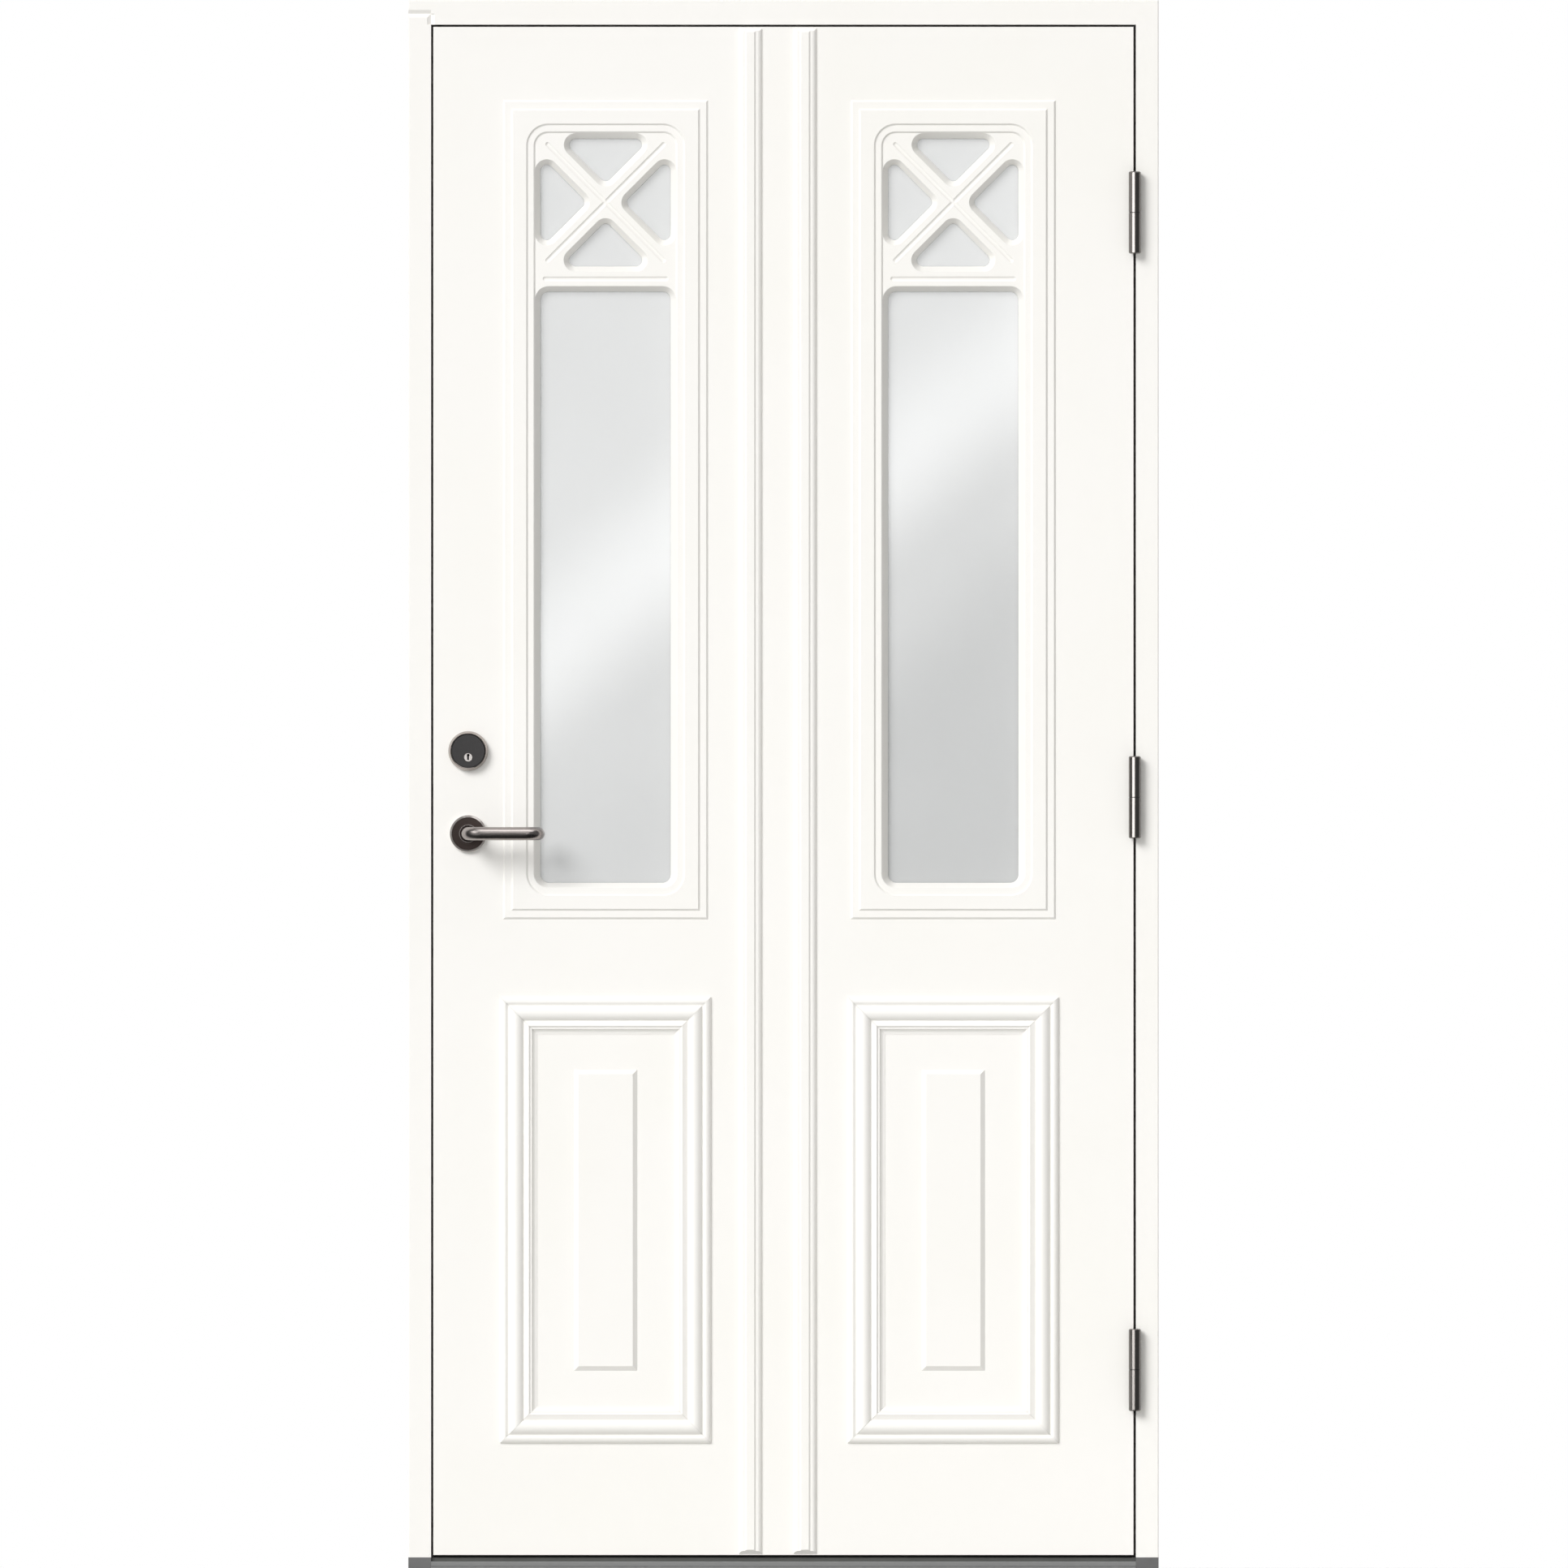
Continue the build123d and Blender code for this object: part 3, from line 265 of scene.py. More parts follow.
@dataclass(frozen=True)
class EtchedUnitGlass:
    """Float glass of a sealed triple unit, acid-etched on its outer face.

    The etched face takes a soft grey light and the shadow of its frame, and hides what lies behind. The
    clear faces behind it only cool what comes through. The etching varies slowly, as its bath does.
    """

    etched_to_y: float
    name: str = "etched_float_glass"
    etched: str = "#CFD0D0"
    etched_pale: str = "#D2D3D3"
    tone_places: Pair = (0.3, 0.7)
    clear: str = "#F4F5F5"
    clear_share: float = 0.2
    bath_mm: float = 180.0
    step_mm: float = 1.0
    index: float = 1.5

    def build(self) -> bpy.types.Material:
        """Builds the glass.

        Returns:
            The material.
        """
        glass = Surface(self.name)
        place: Links = {"Vector": glass.place}
        depth = add_node(glass.tree, "ShaderNodeSeparateXYZ", place).outputs["Y"]
        step = {"From Min": self.etched_to_y, "From Max": self.etched_to_y + mm(self.step_mm)}
        behind = add_node(glass.tree, "ShaderNodeMapRange", {"Value": depth}, step).outputs["Result"]
        bath = add_node(glass.tree, "ShaderNodeTexNoise", place, {"Scale": per_metre(self.bath_mm)})
        fed: Links = {"Fac": bath.outputs["Fac"]}
        tones = ramp_stops(self.tone_places, (self.etched, self.etched_pale))
        etched = add_node(glass.tree, "ShaderNodeValToRGB", fed, None, tones).outputs["Color"]
        fed = {MIX_SHARE: behind, MIX_FIRST: etched}
        clear = {MIX_SECOND: linear(self.clear)}
        both = add_node(glass.tree, "ShaderNodeMix", fed, clear, data_type="RGBA")
        glass.feed("Base Color", both.outputs[MIX_RESULT])
        weight = add_node(glass.tree, "ShaderNodeMapRange", {"Value": behind}, {"To Min": self.clear_share})
        glass.feed("Transmission Weight", weight.outputs["Result"])
        glass.set(Roughness=0.0, IOR=self.index)
        return glass.material


@dataclass(frozen=True)
class BrushedMetal:
    """Plated or bare metal, brushed one way.

    The scratches are finer than the picture shows, so they are drawn about twice their real width,
    which gives the long soft streak of a brushed part. Raised arrises catch a thin line of light.
    """

    name: str
    colour: str
    worn: str
    roughness: float
    lay: Lay = Lay.TUMBLED
    scratch_mm: float = 12.0
    scratch_depth_mm: float = 0.003
    scratch_detail: float = 4.0
    tone_places: Pair = (0.3, 0.75)
    sheen_spread: Pair = (0.04, 0.06)
    arris_mm: float = 0.3

    def build(self) -> bpy.types.Material:
        """Builds the metal.

        Returns:
            The material.
        """
        metal = Surface(self.name)
        metal.feed("Base Color", self.brush(metal))
        return metal.material

    def brush(self, metal: Surface) -> bpy.types.NodeSocket:
        """Gives a surface the metal's scratches, sheen and relief.

        Args:
            metal: The surface.

        Returns:
            The metal's colour.
        """
        lay = {"Scale": self.lay.value}
        drawn = add_node(metal.tree, "ShaderNodeMapping", {"Vector": metal.place}, lay).outputs["Vector"]
        pattern = {"Scale": per_metre(self.scratch_mm), "Detail": self.scratch_detail}
        scratches = add_node(metal.tree, "ShaderNodeTexNoise", {"Vector": drawn}, pattern).outputs["Fac"]
        sheen = spread_round(self.roughness, self.sheen_spread)
        dull = add_node(metal.tree, "ShaderNodeMapRange", {"Value": scratches}, sheen)
        metal.feed("Roughness", dull.outputs["Result"])
        metal.relieve(scratches, self.scratch_depth_mm, self.arris_mm)
        metal.set(Metallic=1.0)
        tones = ramp_stops(self.tone_places, (self.colour, self.worn))
        return add_node(metal.tree, "ShaderNodeValToRGB", {"Fac": scratches}, None, tones).outputs["Color"]


@dataclass(frozen=True)
class PaintedReflectionRose:
    """Turned rose brushed in rings, its face painted dark and its bevel painted bright.

    The dark face is a painted reflection of dark surroundings; the bright bevel is a painted highlight ring
    round it.
    """

    name: str
    centre: Vector
    # Painted reflection: the face is dark in place of the dark surroundings that it would mirror.
    face: str = "#483F3C"
    face_worn: str = "#574E4B"
    tone_places: Pair = (0.3, 0.75)
    # Painted highlight: the bevel's bright ring.
    bevel: str = "#D8D3D0"
    bevel_start_mm: float = 21.6
    bevel_edge_mm: float = 0.2
    face_roughness: float = 0.34
    bevel_roughness: float = 0.2
    ring_mm: float = 0.9
    ring_detail: float = 3.0
    ring_depth_mm: float = 0.004
    ring_share: float = 0.3
    arris_mm: float = 0.2

    def build(self) -> bpy.types.Material:
        """Builds the rose's metal.

        Returns:
            The material.
        """
        rose = Surface(self.name)
        to_axis = {"Location": (-self.centre.x, 0.0, -self.centre.z), "Scale": (1.0, 0.0, 1.0)}
        flat = add_node(rose.tree, "ShaderNodeMapping", {"Vector": rose.place}, to_axis)
        fed: Links = {0: flat.outputs["Vector"]}
        radius = add_node(rose.tree, "ShaderNodeVectorMath", fed, operation="LENGTH").outputs["Value"]
        pattern = {"Scale": per_metre(self.ring_mm), "Detail": self.ring_detail}
        noise = add_node(rose.tree, "ShaderNodeTexNoise", {"W": radius}, pattern, noise_dimensions="1D")
        rings = noise.outputs["Fac"]
        tones = ramp_stops(self.tone_places, (self.face, self.face_worn))
        dark = add_node(rose.tree, "ShaderNodeValToRGB", {"Fac": rings}, None, tones).outputs["Color"]
        start = mm(self.bevel_start_mm)
        edge = {"From Min": start, "From Max": mm(self.bevel_start_mm + self.bevel_edge_mm)}
        on_bevel = add_node(rose.tree, "ShaderNodeMapRange", {"Value": radius}, edge).outputs["Result"]
        # Painted reflection and highlight: the dark face inside the bevel's start, the bright bevel outside
        # it.
        fed = {MIX_SHARE: on_bevel, MIX_FIRST: dark}
        bright = {MIX_SECOND: linear(self.bevel)}
        both = add_node(rose.tree, "ShaderNodeMix", fed, bright, data_type="RGBA")
        rose.feed("Base Color", both.outputs[MIX_RESULT])
        sheen = {"To Min": self.face_roughness, "To Max": self.bevel_roughness}
        polish = add_node(rose.tree, "ShaderNodeMapRange", {"Value": on_bevel}, sheen)
        rose.feed("Roughness", polish.outputs["Result"])
        rose.relieve(rings, self.ring_depth_mm, self.arris_mm, self.ring_share)
        rose.set(Metallic=1.0)
        return rose.material


@dataclass(frozen=True)
class LeverNickel:
    """Brushed nickel lever whose collar is painted dark like the rose that it stands on, as a painted
    reflection.

    The tube keeps the long soft streak of its brushing. The collar is painted dark as a painted reflection
    of the dark surroundings that the neck mirrors, and with its bright rim it sets the neck off from the
    rose.
    """

    centre: Vector
    collar_reach: float
    collar_radius: float = mm(11.0)
    # Painted reflection: the collar's dark colour.
    collar: str = "#3B3331"
    tube: BrushedMetal = BrushedMetal("brushed_nickel_lever", "#9A9390", "#AAA3A0", 0.24, Lay.ACROSS)

    def build(self) -> bpy.types.Material:
        """Builds the lever's metal.

        Returns:
            The material.
        """
        lever = Surface(self.tube.name)
        shade = self.tube.brush(lever)
        fed: Links = {0: lever.place}
        centre = {1: self.centre}
        offset = add_node(lever.tree, "ShaderNodeVectorMath", fed, centre, operation="SUBTRACT")
        fed = {0: offset.outputs["Vector"]}
        across = {1: (1.0, 0.0, 1.0)}
        flat = add_node(lever.tree, "ShaderNodeVectorMath", fed, across, operation="MULTIPLY")
        along = {1: (0.0, 1.0, 0.0)}
        depth = add_node(lever.tree, "ShaderNodeVectorMath", fed, along, operation="DOT_PRODUCT")
        fed = {0: depth.outputs["Value"]}
        reach = add_node(lever.tree, "ShaderNodeMath", fed, operation="ABSOLUTE").outputs[0]
        fed = {0: flat.outputs["Vector"]}
        radius = add_node(lever.tree, "ShaderNodeVectorMath", fed, operation="LENGTH").outputs["Value"]
        front = {1: self.collar_reach}
        low = add_node(lever.tree, "ShaderNodeMath", {0: reach}, front, operation="LESS_THAN").outputs[0]
        rim = {1: self.collar_radius}
        inside = add_node(lever.tree, "ShaderNodeMath", {0: radius}, rim, operation="LESS_THAN").outputs[0]
        both = add_node(lever.tree, "ShaderNodeMath", {0: low, 1: inside}, operation="MULTIPLY").outputs[0]
        # Painted reflection: within the collar's reach and radius the nickel is painted dark.
        fed = {MIX_SHARE: both, MIX_FIRST: shade}
        dark = {MIX_SECOND: linear(self.collar)}
        mixed = add_node(lever.tree, "ShaderNodeMix", fed, dark, data_type="RGBA")
        lever.feed("Base Color", mixed.outputs[MIX_RESULT])
        return lever.material


@dataclass(frozen=True)
class KeyPlugMetal:
    """Nickel-plated brass plug: a bright polished face, and a keyway painted dark as painted shade."""

    face_y: float
    name: str = "nickel_plug"
    bright: str = "#A39F9C"
    # Painted shade inside the keyway.
    dark: str = "#0C0B0B"
    bright_roughness: float = 0.12
    dark_roughness: float = 0.8
    keyway_depth_mm: float = 1.0
    keyway_edge_mm: float = 0.3
    polish_mm: float = 3.0
    polish_depth_mm: float = 0.002
    arris_mm: float = 0.2

    def build(self) -> bpy.types.Material:
        """Builds the plug's metal.

        Returns:
            The material.
        """
        plug = Surface(self.name)
        depth = add_node(plug.tree, "ShaderNodeSeparateXYZ", {"Vector": plug.place}).outputs["Y"]
        # Painted shade: faces deeper than the keyway's start behind the plug's face are painted dark and
        # rough.
        start = self.face_y + mm(self.keyway_depth_mm)
        step = {"From Min": start - mm(self.keyway_edge_mm), "From Max": start}
        inside = add_node(plug.tree, "ShaderNodeMapRange", {"Value": depth}, step).outputs["Result"]
        colours = {MIX_FIRST: linear(self.bright), MIX_SECOND: linear(self.dark)}
        both = add_node(plug.tree, "ShaderNodeMix", {MIX_SHARE: inside}, colours, data_type="RGBA")
        plug.feed("Base Color", both.outputs[MIX_RESULT])
        sheen = {"To Min": self.bright_roughness, "To Max": self.dark_roughness}
        polish = add_node(plug.tree, "ShaderNodeMapRange", {"Value": inside}, sheen)
        plug.feed("Roughness", polish.outputs["Result"])
        pattern = {"Scale": per_metre(self.polish_mm)}
        swirl = add_node(plug.tree, "ShaderNodeTexNoise", {"Vector": plug.place}, pattern)
        plug.relieve(swirl.outputs["Fac"], self.polish_depth_mm, self.arris_mm)
        plug.set(Metallic=1.0)
        return plug.material


@dataclass(frozen=True)
class GrainedPlastic:
    """Moulded or extruded plastic, rubber or foam with a fine grain.

    The grain dulls the sheen evenly, and a slow change of tone keeps large faces from looking flat.
    """

    name: str
    colour: str
    pale: str
    roughness: float
    grain_mm: float = 0.8
    grain_depth_mm: float = 0.02
    grain_share: float = 0.5
    cloud_grains: float = 60.0
    tone_places: Pair = (0.3, 0.7)
    sheen_spread: Pair = (0.05, 0.05)
    arris_mm: float = 0.3

    def build(self) -> bpy.types.Material:
        """Builds the plastic.

        Returns:
            The material.
        """
        plastic = Surface(self.name)
        place: Links = {"Vector": plastic.place}
        slow = {"Scale": per_metre(self.grain_mm * self.cloud_grains)}
        cloud = add_node(plastic.tree, "ShaderNodeTexNoise", place, slow).outputs["Fac"]
        fine = {"Scale": per_metre(self.grain_mm)}
        grain = add_node(plastic.tree, "ShaderNodeTexNoise", place, fine).outputs["Fac"]
        tones = ramp_stops(self.tone_places, (self.colour, self.pale))
        shade = add_node(plastic.tree, "ShaderNodeValToRGB", {"Fac": cloud}, None, tones)
        plastic.feed("Base Color", shade.outputs["Color"])
        sheen = spread_round(self.roughness, self.sheen_spread)
        dull = add_node(plastic.tree, "ShaderNodeMapRange", {"Value": cloud}, sheen)
        plastic.feed("Roughness", dull.outputs["Result"])
        plastic.relieve(grain, self.grain_depth_mm, self.arris_mm, self.grain_share)
        return plastic.material


@dataclass(frozen=True)
class CardGlow:
    """Even light or darkness of a card that only reflections see, where white is 1.

    A card near the door can show on its underside alone, so that the glass doesn't mirror it.
    """

    name: str
    strength: float
    underside_only: bool = False

    def build(self) -> bpy.types.Material:
        """Builds the glow.

        Returns:
            The material.
        """
        card = Surface(self.name)
        glow = {"Color": grey(1.0), "Strength": self.strength}
        shown = add_node(card.tree, "ShaderNodeEmission", None, glow).outputs[0]
        if self.underside_only:
            below = add_node(card.tree, "ShaderNodeNewGeometry").outputs["Backfacing"]
            clear = add_node(card.tree, "ShaderNodeBsdfTransparent").outputs[0]
            shown = add_node(card.tree, "ShaderNodeMixShader", {0: below, 1: clear, 2: shown}).outputs[0]
        card.show(shown)
        card.tree.nodes.remove(card.shader)
        return card.material


@dataclass(frozen=True)
class SkyGlow:
    """The soft sky that one light of the door reflects: even above, a slanting bright band, dark below.

    The card hangs far in front, so its picture on the door is smaller by the spread, about the middle
    of the picture. The foot and the band give the brightness up a line across the slant.
    """

    name: str
    light_x: float
    crest_z: float
    low: float
    spread: float
    middle_x: float
    middle_z: float
    slope: float = 0.85
    below: float = 0.62
    above: float = 0.38
    foot: tuple[Pair, ...] = ((0.0, 0.0), (0.25, 0.06))
    band: tuple[Pair, ...] = ((0.45, 0.38), (0.62, 1.0), (0.8, 0.6), (1.0, 0.56))
    strength: float = 8.0

    def build(self) -> bpy.types.Material:
        """Builds the glow.

        Returns:
            The material.
        """
        sky = Surface(self.name)
        shrink = 1.0 / self.spread
        onto_door = {
            "Scale": (shrink, shrink, shrink),
            "Location": (self.middle_x * (1.0 - shrink), 0.0, self.middle_z * (1.0 - shrink)),
        }
        on_door = add_node(sky.tree, "ShaderNodeMapping", {"Vector": sky.place}, onto_door)
        fed: Links = {0: on_door.outputs["Vector"]}
        slant = {1: (-self.slope, 0.0, 1.0)}
        along = add_node(sky.tree, "ShaderNodeVectorMath", fed, slant, operation="DOT_PRODUCT")
        crest = self.crest_z - self.slope * self.light_x
        reach = {"From Min": crest - self.below, "From Max": crest + self.above}
        fed = {"Value": along.outputs["Value"]}
        height = add_node(sky.tree, "ShaderNodeMapRange", fed, reach).outputs["Result"]
        stops = [(place, grey(level + self.low)) for place, level in self.foot]
        stops += [(place, grey(level)) for place, level in self.band]
        tone = add_node(sky.tree, "ShaderNodeValToRGB", {"Fac": height}, None, stops)
        tone.color_ramp.interpolation = "EASE"
        fed = {"Color": tone.outputs["Color"]}
        sky.show(add_node(sky.tree, "ShaderNodeEmission", fed, {"Strength": self.strength}).outputs[0])
        sky.tree.nodes.remove(sky.shader)
        return sky.material


@dataclass(frozen=True)
class StudioFloor:
    """Pale painted floor. The camera sees it lifted to white, apart from the door's shadow."""

    name: str = "pale_studio_floor"
    colour: str = "#CFCFCD"
    pale: str = "#D1D1CF"
    tone_places: Pair = (0.3, 0.7)
    roughness: float = 0.9
    lift: float = 0.45
    patch_mm: float = 1200.0

    def build(self) -> bpy.types.Material:
        """Builds the floor's paint.

        Returns:
            The material.
        """
        floor = Surface(self.name)
        patches = {"Scale": per_metre(self.patch_mm)}
        cloud = add_node(floor.tree, "ShaderNodeTexNoise", {"Vector": floor.place}, patches).outputs["Fac"]
        tones = ramp_stops(self.tone_places, (self.colour, self.pale))
        shade = add_node(floor.tree, "ShaderNodeValToRGB", {"Fac": cloud}, None, tones)
        floor.feed("Base Color", shade.outputs["Color"])
        floor.set(Roughness=self.roughness)
        seen = add_node(floor.tree, "ShaderNodeLightPath").outputs["Is Camera Ray"]
        glow = {"Color": grey(1.0), "Strength": self.lift}
        lift = add_node(floor.tree, "ShaderNodeEmission", None, glow).outputs[0]
        plain = floor.shader.outputs[0]
        lifted = add_node(floor.tree, "ShaderNodeAddShader", {0: plain, 1: lift}).outputs[0]
        floor.show(add_node(floor.tree, "ShaderNodeMixShader", {0: seen, 1: plain, 2: lifted}).outputs[0])
        return floor.material


def corners(node: str) -> tuple[Vector, Vector]:
    """The lowest and the highest corner of a node's box at rest."""
    low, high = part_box(node)
    return Vector(low), Vector(high)


def middle(node: str) -> Vector:
    """The middle of a node's box at rest."""
    low, high = corners(node)
    return (low + high) / 2.0


def dress(nodes: Nodes, names: list[str], material: bpy.types.Material) -> None:
    """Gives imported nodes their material.

    Args:
        nodes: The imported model's nodes.
        names: Those to dress.
        material: What their slots get.
    """
    for name in names:
        slots = nodes[name].data.materials
        if not slots:
            slots.append(material)
        for index in range(len(slots)):
            slots[index] = material
        LOG.info("%s wears %s", name, material.name)


def add_piece(shape: bmesh.types.BMesh, name: str, material: bpy.types.Material) -> bpy.types.Object:
    """Turns a finished shape to an object whose place is in its mesh.

    Args:
        shape: The shape, which is freed.
        name: The object's name.
        material: Its finish.

    Returns:
        The object.
    """
    mesh = bpy.data.meshes.new(name)
    shape.to_mesh(mesh)
    shape.free()
    mesh.materials.append(material)
    piece = bpy.data.objects.new(name, mesh)
    bpy.context.scene.collection.objects.link(piece)
    LOG.info("%s has %d faces", name, len(mesh.polygons))
    return piece


@dataclass
class CrossHeadScrews:
    """Countersunk screws with a cross recess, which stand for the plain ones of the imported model.

    A head starts as a square grid. Its middle cells sink to make the cross, its border is rounded to a
    circle, and the head's cone, the shank and the point are drawn out of that border.
    """

    node: str
    body: str
    heads: list[Vector]
    outward: Vector
    head_radius: float = mm(4.4)
    shank_radius: float = mm(2.2)
    point_radius: float = mm(0.3)
    head_height: float = mm(2.0)
    shank_length: float = mm(21.0)
    length: float = mm(25.0)
    half_arm: float = mm(0.45)
    arm_reach: float = mm(1.75)
    half_square: float = mm(2.3)
    recess_depth: float = mm(1.3)
    recess_taper: float = 0.6

    def build(self, material: bpy.types.Material) -> None:
        """Builds every screw in one piece that rides with its body.

        Args:
            material: The screws' metal.
        """
        shape = bmesh.new()
        self.draw_shank(shape, self.cut_head(shape))
        pattern = [*shape.verts, *shape.edges, *shape.faces]
        facing = self.outward.to_track_quat("Z", "Y").to_matrix().to_4x4()
        for head in self.heads:
            copy = bmesh.ops.duplicate(shape, geom=pattern)["geom"]
            verts = [part for part in copy if isinstance(part, bmesh.types.BMVert)]
            bmesh.ops.transform(shape, verts=verts, matrix=Matrix.Translation(head) @ facing)
        spare = [part for part in pattern if isinstance(part, bmesh.types.BMVert)]
        bmesh.ops.delete(shape, geom=spare, context="VERTS")
        bmesh.ops.recalc_face_normals(shape, faces=shape.faces)
        piece = add_piece(shape, f"cross_head_{self.node}", material)
        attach(piece, self.body)
        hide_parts(self.node)

    def cut_head(self, shape: bmesh.types.BMesh) -> list[bmesh.types.BMEdge]:
        """Makes a head's face with its recess.

        Args:
            shape: The shape that it joins.

        Returns:
            The edges of the face's rim.
        """
        steps = (0.0, self.half_arm, self.arm_reach, self.half_square, self.head_radius)
        last = len(steps) - 1
        grid = bmesh.ops.create_grid(shape, x_segments=2 * last, y_segments=2 * last, size=1.0)["verts"]
        for vert in grid:
            if vert.is_boundary:
                vert.co = vert.co.normalized() * self.head_radius
                continue
            for axis in (0, 1):
                step = steps[round(abs(vert.co[axis]) * last)]
                vert.co[axis] = math.copysign(step, vert.co[axis])
        rim = [edge for edge in shape.edges if edge.is_boundary]
        cross = [face for face in shape.faces if self.in_cross(face.calc_center_median())]
        sunk = bmesh.ops.extrude_face_region(shape, geom=cross)["geom"]
        bmesh.ops.delete(shape, geom=[face for face in cross if face.is_valid], context="FACES")
        floor = [part for part in sunk if isinstance(part, bmesh.types.BMVert)]
        bmesh.ops.scale(shape, verts=floor, vec=(self.recess_taper, self.recess_taper, 1.0))
        bmesh.ops.translate(shape, verts=floor, vec=(0.0, 0.0, -self.recess_depth))
        return rim

    def in_cross(self, centre: Vector) -> bool:
        """Whether a cell of the grid is part of the cross."""
        across, along = sorted((abs(centre.x), abs(centre.y)))
        return across < self.half_arm and along < self.arm_reach

    def draw_shank(self, shape: bmesh.types.BMesh, rim: list[bmesh.types.BMEdge]) -> None:
        """Draws the cone, the shank and the point out of the head's rim.

        Args:
            shape: The shape.
            rim: The edges of the head's rim.
        """
        radius, depth = self.head_radius, 0.0
        sections = (
            (self.shank_radius, self.head_height),
            (self.shank_radius, self.shank_length),
            (self.point_radius, self.length),
        )
        for next_radius, next_depth in sections:
            made = bmesh.ops.extrude_edge_only(shape, edges=rim)["geom"]
            ring = {part for part in made if isinstance(part, bmesh.types.BMVert)}
            edges = [part for part in made if isinstance(part, bmesh.types.BMEdge)]
            rim = [edge for edge in edges if ring.issuperset(edge.verts)]
            share = next_radius / radius
            bmesh.ops.scale(shape, verts=list(ring), vec=(share, share, 1.0))
            bmesh.ops.translate(shape, verts=list(ring), vec=(0.0, 0.0, depth - next_depth))
            radius, depth = next_radius, next_depth
        bmesh.ops.contextual_create(shape, geom=rim)


@dataclass
class DoorFrame:
    """Head, jambs, seals and the strike plate with its screws."""

    screw_inset: float = mm(4.5)
    middle_drop: float = mm(5.0)

    def build(self, nodes: Nodes, paint: bpy.types.Material, steel: bpy.types.Material) -> None:
        """Dresses the frame and makes the strike's screws, the middle one between the two pockets.

        Args:
            nodes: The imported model's nodes.
            paint: The door's paint.
            steel: The strike's steel.
        """
        dress(nodes, ["head", "hinge_jamb", "lock_jamb"], paint)
        rubber = GrainedPlastic("black_sealing_rubber", "#111111", "#1A1A1A", 0.6).build()
        dress(nodes, ["frame_seal", "sweep_seal", "gaskets_left", "gaskets_right"], rubber)
        dress(nodes, ["strike_plate", "strike_screws"], steel)
        low, high = corners("strike_screws")
        centre = (low + high) / 2.0
        heights = (low.z + self.screw_inset, centre.z - self.middle_drop, high.z - self.screw_inset)
        heads = [Vector((high.x, centre.y, z)) for z in heights]
        CrossHeadScrews("strike_screws", "frame", heads, Vector((1.0, 0.0, 0.0))).build(steel)


@dataclass
class Threshold:
    """Grey composite body with its aluminium cap and rubber strip."""

    def build(self, nodes: Nodes) -> None:
        """Dresses the threshold.

        Args:
            nodes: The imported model's nodes.
        """
        body = GrainedPlastic("grey_threshold_composite", "#5E5E5E", "#6A6A6A", 0.55).build()
        cap = BrushedMetal("mill_finish_aluminium", "#8E8F8F", "#9C9D9D", 0.38, Lay.ACROSS, 8.0).build()
        strip = GrainedPlastic("grey_threshold_rubber", "#3F403D", "#4B4C49", 0.6).build()
        dress(nodes, ["threshold_body"], body)
        dress(nodes, ["threshold_cap"], cap)
        dress(nodes, ["threshold_strip"], strip)


@dataclass
class Leaf:
    """Skins, timber, core, mouldings and glazing."""

    sides: tuple[str, str] = ("left", "right")
    etched_depth: float = mm(1.5)

    def build(self, nodes: Nodes, paint: bpy.types.Material) -> None:
        """Dresses the leaf.

        Args:
            nodes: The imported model's nodes.
            paint: The door's paint.
        """
        kinds = ["outer_glazing_frame", "inner_glazing_frame", "panel_moulding", "raised_panel", "astragal"]
        dress(nodes, [f"{kind}_{side}" for kind in kinds for side in self.sides], paint)
        dress(nodes, ["outer_skin", "inner_skin"], paint)
        dress(nodes, ["hinge_stile", "lock_stile", "top_rail", "bottom_rail"], paint)
        foam = GrainedPlastic("rigid_foam", "#D6D2BC", "#DEDAC8", 0.9, 0.5).build()
        dress(nodes, ["insulation_core"], foam)
        glass = EtchedUnitGlass(corners("glass_left")[0].y + self.etched_depth).build()
        dress(nodes, [f"glass_{side}" for side in self.sides], glass)
        spacer = BrushedMetal("anodised_spacer", "#A9AAAC", "#B6B7B9", 0.35, Lay.UPRIGHT).build()
        dress(nodes, [f"spacers_{side}" for side in self.sides], spacer)


@dataclass
class LockSet:
    """Cylinder outside, thumb-turn inside, and the lock in the leaf's edge."""

    screw_inset: float = mm(4.5)

    def build(self, nodes: Nodes, nickel: bpy.types.Material, steel: bpy.types.Material) -> None:
        """Dresses the lock and makes the faceplate's screws.

        Args:
            nodes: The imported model's nodes.
            nickel: The thumb-turn's metal.
            steel: The lock's steel.
        """
        ring = BrushedMetal("polished_nickel", "#A8A09B", "#B8B0AB", 0.15).build()
        disc = BrushedMetal("blackened_steel", "#373636", "#3C3B3B", 0.42, Lay.TUMBLED, 6.0).build()
        dress(nodes, ["cylinder_ring"], ring)
        dress(nodes, ["cylinder_housing"], disc)
        dress(nodes, ["key_plug"], KeyPlugMetal(corners("key_plug")[0].y).build())
        dress(nodes, ["thumbturn"], nickel)
        turn_rose = PaintedReflectionRose("turn_rose_painted_reflection", middle("cylinder_ring")).build()
        dress(nodes, ["thumbturn_rose"], turn_rose)
        lock = ["lock_case", "lock_faceplate", "faceplate_screws", "latch_bolt", "deadbolt", "lock_follower"]
        dress(nodes, lock, steel)
        low, high = corners("faceplate_screws")
        heights = (low.z + self.screw_inset, high.z - self.screw_inset)
        heads = [Vector((low.x, (low.y + high.y) / 2.0, z)) for z in heights]
        CrossHeadScrews("faceplate_screws", "leaf", heads, Vector((-1.0, 0.0, 0.0))).build(steel)


